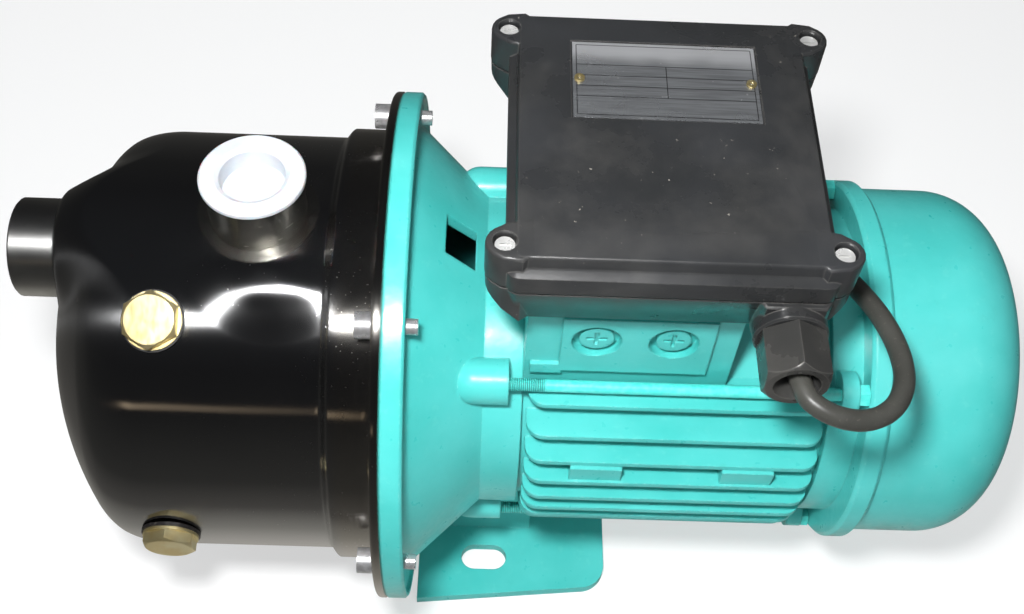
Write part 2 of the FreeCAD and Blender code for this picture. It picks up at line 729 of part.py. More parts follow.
# Motor housing.
housing = new_body("motor_housing")
barrel = new_sketch(housing, "barrel_outline", "YZ_Plane", "neck_end_x")
circle(barrel, "0", "0", "core_r")
extrude(housing, "barrel", barrel, "housing_end_x - neck_end_x")
deck = new_sketch(housing, "deck_outline", "YZ_Plane", "neck_end_x")
outline(deck, [("-deck_half_width", "30"), ("deck_half_width", "30"),
               ("deck_half_width", "box_bottom"), ("-deck_half_width", "box_bottom")])
extrude(housing, "deck", deck, "deck_end_x - neck_end_x")
for name, level in (("fin_mid", 0), ("fin_one", 1), ("fin_two", 2), ("fin_three", 3), ("fin_four", 4)):
    for hand in ((1,) if level == 0 else (1, -1)):
        height = "fin_pitch * %d" % (level * hand)
        plan = new_sketch(housing, "%s_%s_outline" % (name, "up" if hand > 0 else "down"), "XY_Plane",
                          "(%s) - fin_thickness / 2" % height)
        tip = "sqrt(fin_tip_r^2 - (%s)^2)" % height
        outline(plan, [
            ("fin_start_x", "-(%s) + fin_corner_r" % tip), ("fin_start_x + fin_corner_r", "-(%s)" % tip),
            ("fin_end_x - fin_corner_r", "-(%s)" % tip), ("fin_end_x", "-(%s) + fin_corner_r" % tip),
            ("fin_end_x", "(%s) - fin_corner_r" % tip), ("fin_end_x - fin_corner_r", tip),
            ("fin_start_x + fin_corner_r", tip), ("fin_start_x", "(%s) - fin_corner_r" % tip)],
            {0: ("fin_corner_r", -1), 2: ("fin_corner_r", -1), 4: ("fin_corner_r", -1), 6: ("fin_corner_r", -1)})
        extrude(housing, "%s_%s" % (name, "up" if hand > 0 else "down"), plan, "fin_thickness")
for name, side in (("near", "-"), ("far", "")):
    pad = new_sketch(housing, name + "_pad_outline", "XY_Plane", "pad_bottom")
    near, out = "%s(deck_half_width - 4)" % side, "%s(deck_half_width + pad_out)" % side
    corners = [("pad_x", near), ("pad_x + pad_length", near), ("pad_x + pad_length", out), ("pad_x", out)]
    outline(pad, corners)
    extrude(housing, name + "_pad", pad, "pad_top - pad_bottom")
    ledge = new_sketch(housing, name + "_ledge_outline", "XY_Plane", "ledge_z - 3")
    corners = [("fin_start_x", near), ("fin_start_x + ledge_length", near),
               ("fin_start_x + ledge_length", out), ("fin_start_x", out)]
    outline(ledge, corners)
    extrude(housing, name + "_ledge", ledge, "6")
    for step in (0, 1):
        block = new_sketch(housing, "%s_block_%d_outline" % (name, step), "XY_Plane", "block_z - block_height / 2")
        start = "block_x + block_pitch * %d" % step
        root, face = "%s(core_r - 8)" % side, "%s(block_out)" % side
        outline(block, [(start, root), (start + " + block_length", root),
                        (start + " + block_length", face), (start, face)])
        extrude(housing, "%s_block_%d" % (name, step), block, "block_height")
for step in (0, 1):
    sink = new_sketch(housing, "pad_recess_%d_outline" % step, "XZ_Plane", "deck_half_width + pad_out - pad_recess_depth")
    circle(sink, "pad_screw_x + pad_screw_pitch * %d" % step, "pad_screw_z", "pad_recess_r")
    extrude(housing, "pad_recess_%d" % step, sink, "pad_recess_depth + 2", cut=True)
core_bore = new_sketch(housing, "bore_outline", "YZ_Plane", "neck_end_x - 1")
circle(core_bore, "0", "0", "bore_r")
extrude(housing, "bore", core_bore, "housing_end_x - neck_end_x + 2", cut=True)
room = new_sketch(housing, "deck_room_outline", "YZ_Plane", "neck_end_x + deck_wall * 2")
outline(room, [("-deck_half_width + deck_wall * 2", "core_r + 2"), ("deck_half_width - deck_wall * 2", "core_r + 2"),
               ("deck_half_width - deck_wall * 2", "box_bottom + 1"), ("-deck_half_width + deck_wall * 2", "box_bottom + 1")])
extrude(housing, "deck_room", room, "deck_end_x - neck_end_x - deck_wall * 4", cut=True)

# Two countersunk-look screws in the near pad.
pad_screws = new_body("pad_screws")
for step in (0, 1):
    drive = new_sketch(pad_screws, "pad_screw_%d_outline" % step, "XZ_Plane",
                       "deck_half_width + pad_out - pad_recess_depth")
    circle(drive, "pad_screw_x + pad_screw_pitch * %d" % step, "pad_screw_z", "pad_screw_r")
    extrude(pad_screws, "pad_screw_%d" % step, drive, "pad_screw_height")
for step in (0, 1):
    for wide, tall, hand in (("7.6", "1.5", "flat"), ("1.5", "7.6", "tall")):
        slot = new_sketch(pad_screws, "pad_cross_%s_%d_outline" % (hand, step), "XZ_Plane",
                          "deck_half_width + pad_out - pad_recess_depth + pad_screw_height - 1.2")
        cx = "pad_screw_x + pad_screw_pitch * %d" % step
        outline(slot, [("%s - %s / 2" % (cx, wide), "pad_screw_z - %s / 2" % tall),
                       ("%s + %s / 2" % (cx, wide), "pad_screw_z - %s / 2" % tall),
                       ("%s + %s / 2" % (cx, wide), "pad_screw_z + %s / 2" % tall),
                       ("%s - %s / 2" % (cx, wide), "pad_screw_z + %s / 2" % tall)])
        extrude(pad_screws, "pad_cross_%s_%d" % (hand, step), slot, "2", cut=True)

# Rear shield, fan, fan cover.
shield = new_body("rear_shield")
revolve(shield, "shield_disc", [
    ("housing_end_x", "shaft_r + 3"), ("housing_end_x", "shield_body_r"), ("ring_x", "shield_body_r"),
    ("ring_x", "ring_r - 1.5"), ("ring_x + 1.5", "ring_r"), ("ring_x + ring_width - 1.5", "ring_r"),
    ("ring_x + ring_width", "ring_r - 1.5"), ("ring_x + ring_width", "(cover_r - cover_wall)"),
    ("ring_x + ring_width + ring_spigot_length", "(cover_r - cover_wall)"),
    ("ring_x + ring_width + ring_spigot_length", "(cover_r - cover_wall) - 3"),
    ("ring_x + 2", "(cover_r - cover_wall) - 6"), ("housing_end_x + shield_web + 2", "bearing_outer_r + 5"),
    ("rear_bearing_x + bearing_width + 3", "bearing_outer_r + 4"),
    ("rear_bearing_x + bearing_width + 3", "shaft_r + 3")])
revolve(shield, "rear_bearing_seat", [
    ("housing_end_x - 1", "0"), ("housing_end_x - 1", "bearing_outer_r"),
    ("rear_bearing_x + bearing_width", "bearing_outer_r"), ("rear_bearing_x + bearing_width", "0")], cut=True)
for name, side, height in CORNERS:
    lug = new_sketch(shield, name + "_lug_outline", "YZ_Plane", "rear_lug_x")
    circle(lug, "%s(rod_boss_out * cos(rod_angle))" % side, "%s(rod_boss_out * sin(rod_angle))" % height, "rear_lug_r")
    extrude(shield, name + "_lug", lug, "rear_lug_length")
for name, side, height in CORNERS:
    hole = new_sketch(shield, name + "_lug_hole_outline", "YZ_Plane", "rear_lug_x - 6")
    circle(hole, "%s(%s)" % (side, ROD_Y), "%s(%s)" % (height, ROD_Z), "rod_r + running_gap")
    extrude(shield, name + "_lug_hole", hole, "rear_lug_length + 6", cut=True)

fan_cover = new_body("fan_cover")
revolve(fan_cover, "cover_shell", [
    ("ring_x + ring_width", "cover_r - cover_wall"), ("ring_x + ring_width", "cover_r"),
    ("cover_end_x - cover_round - 4", "cover_r"), ("cover_end_x - 2.4", "cover_face_r + 5"),
    ("cover_end_x", "0"), ("cover_end_x - cover_wall", "0"),
    ("cover_end_x - cover_wall - 2.4", "cover_face_r + 4"),
    ("cover_end_x - cover_round - 4", "cover_r - cover_wall")],
    {2: ("cover_round + 1.6", 1), 6: ("cover_round - 0.2", -1)})
slot = new_sketch(fan_cover, "vent_outline", "YZ_Plane", "cover_end_x - 12")
outline(slot, [("-vent_width / 2", "vent_inner_r"), ("vent_width / 2", "vent_inner_r"),
               ("vent_width / 2", "vent_inner_r + vent_length"), ("-vent_width / 2", "vent_inner_r + vent_length")])
around(fan_cover, "vents", extrude(fan_cover, "vent", slot, "20", cut=True), "vent_count")

fan = new_body("cooling_fan")
revolve(fan, "fan_hub", [
    ("fan_x", "shaft_r - 2"), ("fan_x", "fan_r - 10"), ("fan_x + 1.6", "fan_r - 10"), ("fan_x + 1.6", "shaft_r + 6"),
    ("fan_x + fan_width - 2", "shaft_r + 4"), ("fan_x + fan_width - 2", "shaft_r - 2")])
blade = new_sketch(fan, "blade_outline", "YZ_Plane", "fan_x + 0.2")
outline(blade, [("-1", "shaft_r + 2"), ("1", "shaft_r + 2"), ("1", "fan_r"), ("-1", "fan_r")])
around(fan, "blades", extrude(fan, "blade", blade, "fan_width"), "fan_blades")

# Terminal box.
base = new_body("terminal_base", "box_x")


def box_outline(sketch, half_x, half_y, corner):
    """A rectangle with cut corners, centred on the box."""
    hx, hy, c = "(%s)" % half_x, "(%s)" % half_y, "(%s)" % corner
    outline(sketch, [
        ("-%s + %s" % (hx, c), "-" + hy), ("%s - %s" % (hx, c), "-" + hy), (hx, "-%s + %s" % (hy, c)),
        (hx, "%s - %s" % (hy, c)), ("%s - %s" % (hx, c), hy), ("-%s + %s" % (hx, c), hy),
        ("-" + hx, "%s - %s" % (hy, c)), ("-" + hx, "-%s + %s" % (hy, c))])


def add_lugs(body, label, bottom, height, taper=None):
    """Four rounded lugs that carry the cover screws."""
    lugs = new_sketch(body, label + "_outline", "XY_Plane", bottom)
    for sx in (1, -1):
        for sy in (1, -1):
            x, y = "%d * " % sx, "%d * " % sy
            points = [
                (x + "(lug_x - 8)", y + "(lug_y - 12)"), (x + "(lug_x + lug_r * 0.8)", y + "(lug_y - lug_r * 0.6)"),
                (x + "(lug_x + lug_r * 0.28)", y + "(lug_y + lug_r * 0.96)"), (x + "(lug_x - 12)", y + "(lug_y + 8)")]
            outline(lugs, points, {1: ("lug_r", -1 if sx * sy > 0 else 1)})
    return extrude(body, label, lugs, height, taper=taper)


walls = new_sketch(base, "base_outline", "XY_Plane", "box_bottom")
box_outline(walls, "box_half_length - base_taper", "box_half_width - base_taper", "box_corner")
extrude(base, "base_walls", walls, "box_split - gasket_thickness - box_bottom")
add_lugs(base, "base_lugs", "lug_bottom", "box_split - gasket_thickness - lug_bottom")
block = new_sketch(base, "gland_block_outline", "XY_Plane", "box_bottom + 0.4")
bx = "(gland_x - box_x)"
outline(block, [(bx + " - gland_block_half", "-box_half_width + 6"), (bx + " - gland_block_half", "-box_half_width + 1"),
                (bx + " - gland_block_half + 2", "-gland_block_out"), (bx + " + gland_block_half - 2", "-gland_block_out"),
                (bx + " + gland_block_half", "-box_half_width + 1"), (bx + " + gland_block_half", "-box_half_width + 6")])
extrude(base, "gland_block", block, "box_split - gasket_thickness - box_bottom - 0.4")
room = new_sketch(base, "base_room_outline", "XY_Plane", "box_bottom + box_wall")
box_outline(room, "box_half_length - base_taper - box_wall", "box_half_width - base_taper - box_wall", "box_corner")
extrude(base, "base_room", room, "40", cut=True)
bore = new_sketch(base, "gland_bore_outline", "XZ_Plane", "box_half_width - base_taper - box_wall - 2")
circle(bore, bx, "gland_z", "gland_bore_r")
extrude(base, "gland_bore", bore, "30", cut=True)
holes = new_sketch(base, "base_hole_outline", "XY_Plane", "lug_bottom - 1")
for sx in ("", "-"):
    for sy in ("", "-"):
        circle(holes, sx + "lug_x", sy + "lug_y", "box_screw_r + running_gap")
extrude(base, "base_holes", holes, "20", cut=True)
entry = new_sketch(base, "wire_entry_outline", "XY_Plane", "box_bottom - 1")
circle(entry, "-20", "0", "9")
extrude(base, "wire_entry", entry, "box_wall + 2", cut=True)

gasket = new_body("cover_gasket", "box_x")
rim = new_sketch(gasket, "gasket_outline", "XY_Plane", "box_split - gasket_thickness")
box_outline(rim, "box_half_length - base_taper - 0.4", "box_half_width - base_taper - 0.4", "box_corner")
box_outline(rim, "box_half_length - base_taper - box_wall + 0.3", "box_half_width - base_taper - box_wall + 0.3", "box_corner")
extrude(gasket, "gasket_ring", rim, "gasket_thickness")

lid = new_body("terminal_cover", "box_x")
walls = new_sketch(lid, "lid_outline", "XY_Plane", "box_split")
box_outline(walls, "box_half_length", "box_half_width", "box_corner")
block_pad = extrude(lid, "lid_block", walls, "box_top - box_split")
LID_TOP = number("box_top")
soften(lid, "lid_bevel", block_pad,
       lambda e: abs(e.BoundBox.ZMin - LID_TOP) < 0.01 and abs(e.BoundBox.ZMax - LID_TOP) < 0.01, "cover_inset")
add_lugs(lid, "lid_lugs", "box_split", "box_top - lug_top_drop - box_split")
room = new_sketch(lid, "lid_room_outline", "XY_Plane", "box_split - 1")
box_outline(room, "box_half_length - box_wall - cover_inset", "box_half_width - box_wall - cover_inset", "box_corner")
extrude(lid, "lid_room", room, "box_top - box_split - box_wall + 1", cut=True)
holes = new_sketch(lid, "lid_hole_outline", "XY_Plane", "box_split - 1")
sinks = new_sketch(lid, "lid_sink_outline", "XY_Plane", "box_top - lug_top_drop - lug_sink_depth")
for sx in ("", "-"):
    for sy in ("", "-"):
        circle(holes, sx + "lug_x", sy + "lug_y", "box_screw_r + running_gap")
        circle(sinks, sx + "lug_x", sy + "lug_y", "lug_sink_r")
extrude(lid, "lid_holes", holes, "box_top - box_split", cut=True)
extrude(lid, "lid_sinks", sinks, "lug_sink_depth + 2", cut=True)


def rectangle(sketch, x, y, length, width):
    outline(sketch, [("(%s) - (%s) / 2" % (x, length), "(%s) - (%s) / 2" % (y, width)),
                     ("(%s) + (%s) / 2" % (x, length), "(%s) - (%s) / 2" % (y, width)),
                     ("(%s) + (%s) / 2" % (x, length), "(%s) + (%s) / 2" % (y, width)),
                     ("(%s) - (%s) / 2" % (x, length), "(%s) + (%s) / 2" % (y, width))])


recess = new_sketch(lid, "plate_recess_outline", "XY_Plane", "box_top - plate_recess")
rectangle(recess, "plate_x", "plate_y", "plate_length + plate_border * 2", "plate_width + plate_border * 2")
extrude(lid, "plate_recess_cut", recess, "plate_recess + 1", cut=True)

plate = new_body("nameplate", "box_x")
sheet_metal = new_sketch(plate, "plate_outline", "XY_Plane", "box_top - plate_recess")
rectangle(sheet_metal, "plate_x", "plate_y", "plate_length", "plate_width")
extrude(plate, "plate_sheet", sheet_metal, "plate_thickness")
rivets = new_body("nameplate_rivets", "box_x")
heads = new_sketch(rivets, "rivet_outline", "XY_Plane", "box_top - plate_recess + plate_thickness")
for side in ("-", "+"):
    x = "plate_x %s (plate_length / 2 - rivet_inset)" % side
    circle(heads, x, "plate_y", "rivet_r")
    circle(heads, x, "plate_y", "rivet_r * 0.4")
extrude(rivets, "rivet_heads", heads, "rivet_height")

box_screws = new_body("cover_screws", "box_x")
heads = new_sketch(box_screws, "box_head_outline", "XY_Plane", "box_top - lug_top_drop - lug_sink_depth")
shanks = new_sketch(box_screws, "box_shank_outline", "XY_Plane", "lug_bottom + 2")
cross = new_sketch(box_screws, "box_cross_outline", "XY_Plane",
                   "box_top - lug_top_drop - lug_sink_depth + box_screw_head_height - 1")
for sx in ("", "-"):
    for sy in ("", "-"):
        circle(heads, sx + "lug_x", sy + "lug_y", "box_screw_head_r")
        circle(shanks, sx + "lug_x", sy + "lug_y", "box_screw_r")
        rectangle(cross, sx + "lug_x", sy + "lug_y", "4", "0.9")
extrude(box_screws, "box_heads", heads, "box_screw_head_height")
extrude(box_screws, "box_shanks", shanks, "box_top - lug_top_drop - lug_sink_depth - lug_bottom - 1.9")
extrude(box_screws, "box_slots", cross, "2", cut=True)

# Gland: a hexagon nut that squeezes a rubber ring around the cable.
nut = new_body("gland_nut", "gland_x", z="gland_z")
hexagon = new_sketch(nut, "gland_hex_outline", "XZ_Plane", "gland_block_out")
polygon(hexagon, "0", "0", "gland_nut_flats", turn=90.0)
extrude(nut, "gland_hex", hexagon, "gland_nut_length")


def turned_y(body, name, points, cut):
    """Turn an outline in the y, x plane about the body's Y axis, x being the radius."""
    sketch = new_sketch(body, name + "_outline", "XY_Plane")
    outline(sketch, [(r, "-(%s)" % y) for y, r in points])
    feature = body.newObject("PartDesign::Groove" if cut else "PartDesign::Revolution", name)
    feature.Profile = sketch
    feature.ReferenceAxis = (sketch, ["V_Axis"])
    feature.Angle = 360
    body.Tip = feature
    return feature


NUT_END = "gland_block_out + gland_nut_length"
turned_y(nut, "gland_hollow", [
    ("gland_block_out - 1", "0"), ("gland_block_out - 1", "gland_thread_r"),
    ("gland_block_out + 7", "gland_thread_r"), ("gland_block_out + 9", "gland_bore_r"),
    (NUT_END + " - gland_mouth_depth - 2", "gland_bore_r"), (NUT_END + " + 1", "gland_mouth_r + 1"),
    (NUT_END + " + 1", "0")], True)
turned_y(nut, "gland_crown", [
    (NUT_END + " - 3", "gland_nut_flats / 2 + 3"), (NUT_END + " + 1", "gland_nut_flats / 2 + 3"),
    (NUT_END + " + 1", "gland_nut_flats / 2 - 1.4")], True)
ring = new_body("gland_seal", "gland_x", z="gland_z")
turned_y(ring, "gland_ring", [
    ("gland_block_out + 0.4", "cable_r + 0.3"), ("gland_block_out + 0.4", "gland_thread_r - 0.4"),
    ("gland_block_out + 6", "gland_thread_r - 0.4"), ("gland_block_out + 6", "cable_r + 0.3")], False)

# Foot.
foot = new_body("foot")
FLOOR = "-axis_height"
sole = new_sketch(foot, "sole_outline", "XY_Plane", FLOOR)
near_side = [
    ("foot_start_x", "-foot_front_half"), ("foot_end_x - foot_corner", "-foot_rear_half"),
    ("foot_end_x", "-foot_rear_half + foot_corner")]
outline(sole, near_side + mirror_y(near_side), {1: ("foot_corner", -1), 3: ("foot_corner", -1)})
extrude(foot, "sole", sole, "foot_thickness")
column = new_sketch(foot, "pedestal_outline", "YZ_Plane", "pedestal_start_x")
outline(column, [("-pedestal_half", FLOOR + " + 1"), ("pedestal_half", FLOOR + " + 1"),
                 ("pedestal_top_half + 6", FLOOR + " + 14"), ("pedestal_top_half", "-neck_r + 16"),
                 ("-pedestal_top_half", "-neck_r + 16"), ("-pedestal_top_half - 6", FLOOR + " + 14")])
extrude(foot, "pedestal", column, "pedestal_end_x - pedestal_start_x")
clear = new_sketch(foot, "neck_clearance_outline", "XZ_Plane")
outline(clear, [("foot_start_x - 3", "0"), ("foot_start_x - 3", "cone_front_r + saddle_clear + 3"),
                ("rim_width + 1.5", "cone_front_r - 1 + saddle_clear"),
                ("cone_x", "neck_r + saddle_clear"), ("neck_end_x + 0.6", "neck_r + saddle_clear"),
                ("neck_end_x + 0.6", "fin_tip_r + 1"), ("foot_end_x", "fin_tip_r + 1"), ("foot_end_x", "0")])
cut = foot.newObject("PartDesign::Groove", "neck_clearance")
cut.Profile = clear
cut.ReferenceAxis = (clear, ["H_Axis"])
cut.Angle = 360
foot.Tip = cut
under = new_sketch(foot, "pedestal_room_outline", "YZ_Plane", "pedestal_start_x + pedestal_wall")
outline(under, [("-pedestal_half + pedestal_wall * 2", FLOOR + " + foot_thickness"), ("pedestal_half - pedestal_wall * 2", FLOOR + " + foot_thickness"),
                ("pedestal_top_half - pedestal_wall", FLOOR + " + 16"), ("pedestal_top_half - pedestal_wall", FLOOR + " + 26"),
                ("-pedestal_top_half + pedestal_wall", FLOOR + " + 26"), ("-pedestal_top_half + pedestal_wall", FLOOR + " + 16")])
extrude(foot, "pedestal_room", under, "pedestal_end_x - pedestal_start_x", cut=True)
slots = new_sketch(foot, "slot_outline", "XY_Plane", FLOOR + " - 1")
for side in ("-", ""):
    half = "(foot_slot_length / 2 - foot_slot_r)"
    low, high = "%s(foot_slot_y) - foot_slot_r" % side, "%s(foot_slot_y) + foot_slot_r" % side
    outline(slots, [("slot_x - " + half, low), ("slot_x + " + half, low),
                    ("slot_x + " + half, high), ("slot_x - " + half, high)],
            {1: ("foot_slot_r", -1, "slot_x + " + half), 3: ("foot_slot_r", -1, "slot_x - " + half)})
extrude(foot, "slots", slots, "foot_thickness + 2", cut=True)

# Hydraulic parts inside the casing.
PLATE = "seal_plate_thickness"
seal_plate = new_body("seal_plate")
revolve(seal_plate, "plate", [
    ("-seal_plate_thickness", "bearing_outer_r + 6"), ("-seal_plate_thickness", "mouth_r - casing_wall - 0.3"),
    ("0", "mouth_r - casing_wall - 0.3"), ("0", "bearing_outer_r + 8"), ("19", "bearing_outer_r + 4"),
    ("22", "bearing_outer_r + 1"), ("22", "shaft_seal_r + 2"), ("19", "shaft_seal_r + 2"),
    ("19", "bearing_outer_r - 2"), ("16", "bearing_outer_r + 1")])
oring = solid("Torus", "casing_oring", {"Radius1": "mouth_r - casing_wall - 2", "Radius2": "1.6"})
oring.Label = "casing_oring"
stand(oring, "-seal_plate_thickness - 2")
oring.Placement = Placement(oring.Placement.Base, Rotation(Vector(0, 1, 0), 90))
NODES.append(oring)

seat = new_body("seal_seat")
revolve(seat, "seat_ring", [("12", "shaft_seal_r + 1"), ("12", "bearing_outer_r - 4"), ("18.9", "bearing_outer_r - 3"),
                            ("18.9", "shaft_seal_r + 1")])
seal_head = new_body("seal_head")
revolve(seal_head, "head_ring", [("-5.4", "shaft_seal_r"), ("-5.4", "14"), ("8", "14"), ("8", "15.6"), ("11.9", "15.6"),
                                 ("11.9", "shaft_seal_r + 2"), ("8", "shaft_seal_r")])

diffuser = new_body("diffuser")
revolve(diffuser, "diffuser_shell", [
    ("-seal_plate_thickness", "impeller_r + 12"), ("-seal_plate_thickness", "impeller_r + 17"), ("-26", "impeller_r + 17"), ("-29", "impeller_r + 12"),
    ("-30", "eye_r + 6"), ("-44", "eye_r + 3"), ("-58", "eye_r"), ("-58", "eye_r - 3"), ("-44", "eye_r - 1"),
    ("-27", "eye_r + 2"), ("-26", "impeller_r + 12")])
vane = new_sketch(diffuser, "guide_outline", "YZ_Plane", "-26.2")
outline(vane, [("-4", "impeller_r + 3"), ("-1.4", "impeller_r + 3.4"), ("7", "impeller_r + 12.4"), ("3", "impeller_r + 12.6")])
around(diffuser, "guides", extrude(diffuser, "guide", vane, "18"), "vane_count + 2")

ejector = new_body("ejector_body")
revolve(ejector, "ejector_tube", [
    ("-54", "eye_r - 3.05"), ("-54", "eye_r - 5"), ("-84", "8.5"), ("-96", "8.5"), ("-104", "13"), ("-118", "13"),
    ("-118", "16"), ("-104", "16"), ("-92", "11.5"), ("-84", "11.5"), ("-64", "eye_r - 3.05")])
nozzle = new_body("ejector_nozzle")
revolve(nozzle, "nozzle_cone", [("-98", "4.4"), ("-98", "5.6"), ("-112", "12.9"), ("-120", "12.9"), ("-120", "11"), ("-112", "11")])

impeller = new_body("impeller")
BACK = "impeller_back_x"
revolve(impeller, "back_shroud", [
    (BACK, "shaft_seal_r"), (BACK, "impeller_r"), (BACK + " - shroud", "impeller_r"), (BACK + " - shroud", "15"),
    (BACK + " - impeller_depth", "12"), (BACK + " - impeller_depth", "shaft_seal_r")])
curved = new_sketch(impeller, "vane_outline", "YZ_Plane", BACK + " - impeller_depth + shroud / 2")
outline(curved, [("eye_r + 1", "0"), ("impeller_r * cos(70) - 0.5", "impeller_r * sin(70) - 0.5"),
                 ("impeller_r * cos(74) - 0.5", "impeller_r * sin(74) - 0.5"), ("eye_r - 1.4", "1.2")],
        {0: ("impeller_r * 0.62", -1), 2: ("impeller_r * 0.6", 1)})
around(impeller, "vanes", extrude(impeller, "vane", curved, "impeller_depth - shroud * 1.4"), "vane_count")
revolve(impeller, "front_shroud", [
    (BACK + " - impeller_depth + shroud", "impeller_r"), (BACK + " - impeller_depth", "impeller_r"),
    (BACK + " - impeller_depth - 1", "eye_r + 3"), (BACK + " - impeller_depth - 5", "eye_r + 2"),
    (BACK + " - impeller_depth - 5", "eye_r"), (BACK + " - impeller_depth + shroud - 1", "eye_r")])
lock = new_body("impeller_nut")
lock_hex = new_sketch(lock, "lock_outline", "YZ_Plane", BACK + " - impeller_depth - 7")
polygon(lock_hex, "0", "0", "shaft_front_r * 2 + 8")
circle(lock_hex, "0", "0", "shaft_front_r")
extrude(lock, "lock_hex", lock_hex, "7")

# Shaft, rotor, stator, bearings.
shaft = new_body("shaft")
revolve(shaft, "shaft_steps", [
    (BACK + " - impeller_depth - 10", "0"), (BACK + " - impeller_depth - 10", "shaft_front_r"),
    (BACK + " - impeller_depth", "shaft_front_r"), (BACK + " - impeller_depth", "shaft_seal_r"),
    ("front_bearing_x - 6", "shaft_seal_r"), ("front_bearing_x - 6", "shaft_r"),
    ("front_bearing_x + bearing_width", "shaft_r"), ("front_bearing_x + bearing_width", "shaft_r + 1.5"),
    ("rear_bearing_x", "shaft_r + 1.5"), ("rear_bearing_x", "shaft_r"),
    ("rear_bearing_x + bearing_width + 4", "shaft_r"), ("rear_bearing_x + bearing_width + 4", "shaft_r - 2"),
    ("fan_x + fan_width + 2", "shaft_r - 2"), ("fan_x + fan_width + 2", "0")])
slinger = new_body("slinger")
revolve(slinger, "slinger_disc", [("27", "shaft_seal_r"), ("27", "19"), ("28.4", "19"), ("29.6", "11"), ("32", "11"), ("32", "shaft_seal_r")])
RACE = "(bearing_outer_r - shaft_r) / 3"
for label, x in (("front_bearing", "front_bearing_x"), ("rear_bearing", "rear_bearing_x")):
    outer = new_body(label + "_outer", x)
    revolve(outer, label + "_outer_ring", [
        ("0", "shaft_r + %s + 0.3" % RACE), ("0", "bearing_outer_r"), ("bearing_width", "bearing_outer_r"),
        ("bearing_width", "shaft_r + %s + 0.3" % RACE), ("bearing_width - 1", "shaft_r + %s + 0.3" % RACE),
        ("bearing_width - 1", "bearing_outer_r - 3"), ("1", "bearing_outer_r - 3"), ("1", "shaft_r + %s + 0.3" % RACE)])
    race = new_body(label + "_inner", x)
    revolve(race, label + "_inner_ring", [
        ("0", "shaft_r"), ("0", "shaft_r + " + RACE), ("bearing_width", "shaft_r + " + RACE), ("bearing_width", "shaft_r")])
spring = new_body("wave_spring")
revolve(spring, "spring_ring", [
    ("rear_bearing_x - 1.4", "bearing_outer_r - 3.6"), ("rear_bearing_x - 1.4", "bearing_outer_r - 0.4"),
    ("rear_bearing_x - 0.2", "bearing_outer_r - 0.2"), ("rear_bearing_x - 0.2", "bearing_outer_r - 3.4")])

stack_end = "stack_x + stack_length"
rotor = new_body("rotor_core")
revolve(rotor, "rotor_stack", [("stack_x", "shaft_r + 1.5"), ("stack_x", "rotor_r"), (stack_end, "rotor_r"),
                               (stack_end, "shaft_r + 1.5")])
cage = new_body("rotor_end_rings")
for name, x, way in (("front", "stack_x", "-"), ("rear", stack_end, "+")):
    revolve(cage, name + "_end_ring", [
        (x, "rotor_r - 9"), (x, "rotor_r - 0.6"), ("%s %s 8" % (x, way), "rotor_r - 1.6"), ("%s %s 8" % (x, way), "rotor_r - 9")])

stator = new_body("stator_core")
lamination = new_sketch(stator, "stack_outline", "YZ_Plane", "stack_x")
circle(lamination, "0", "0", "bore_r")
circle(lamination, "0", "0", "rotor_r + air_gap")
extrude(stator, "stack", lamination, "stack_length")
teeth = new_sketch(stator, "stator_slot_outline", "YZ_Plane", "stack_x - 1")
mouth, top = "rotor_r + air_gap", "rotor_r + air_gap + stator_slot_depth"
outline(teeth, [("-1", mouth + " - 1"), ("1", mouth + " - 1"), ("1", mouth + " + 1"),
                ("stator_slot_width / 2", mouth + " + 2"), ("stator_slot_width / 2 + 0.9", top),
                ("-stator_slot_width / 2 - 0.9", top), ("-stator_slot_width / 2", mouth + " + 2"), ("-1", mouth + " + 1")])
around(stator, "stator_slots_ring", extrude(stator, "stator_slot", teeth, "stack_length + 2", cut=True), "stator_slots")
windings = new_body("stator_windings")
for name, x, way in (("front", "stack_x", "-"), ("rear", stack_end, "+")):
    revolve(windings, name + "_end_turns", [
        ("%s %s 0.3" % (x, way), "rotor_r + 4"), ("%s %s 0.3" % (x, way), "bore_r - 6"),
        ("%s %s 10" % (x, way), "bore_r - 4"), ("%s %s 15" % (x, way), "bore_r - 7"),
        ("%s %s 15" % (x, way), "rotor_r + 8"), ("%s %s 9" % (x, way), "rotor_r + 4")])

# Inside the terminal box.
capacitor = new_body("capacitor", "box_x", "20", "box_bottom + box_wall + 14")
can = new_sketch(capacitor, "can_outline", "YZ_Plane", "-36")
circle(can, "0", "0", "14")
extrude(capacitor, "can", can, "66")
terminals = new_body("terminal_block", "box_x", "-24", "box_bottom + box_wall")
strip = new_sketch(terminals, "strip_outline", "XY_Plane", "0")
rectangle(strip, "0", "0", "46", "18")
extrude(terminals, "strip", strip, "12")
gaps = new_sketch(terminals, "strip_gap_outline", "XY_Plane", "7")
for step in (-1, 0, 1):
    rectangle(gaps, "%d * 11.5" % step, "0", "1.6", "22")
extrude(terminals, "strip_gaps", gaps, "8", cut=True)

# Mains cable, coil and plug.
CABLE_FLOOR = "-axis_height + cable_r + soft_gap"
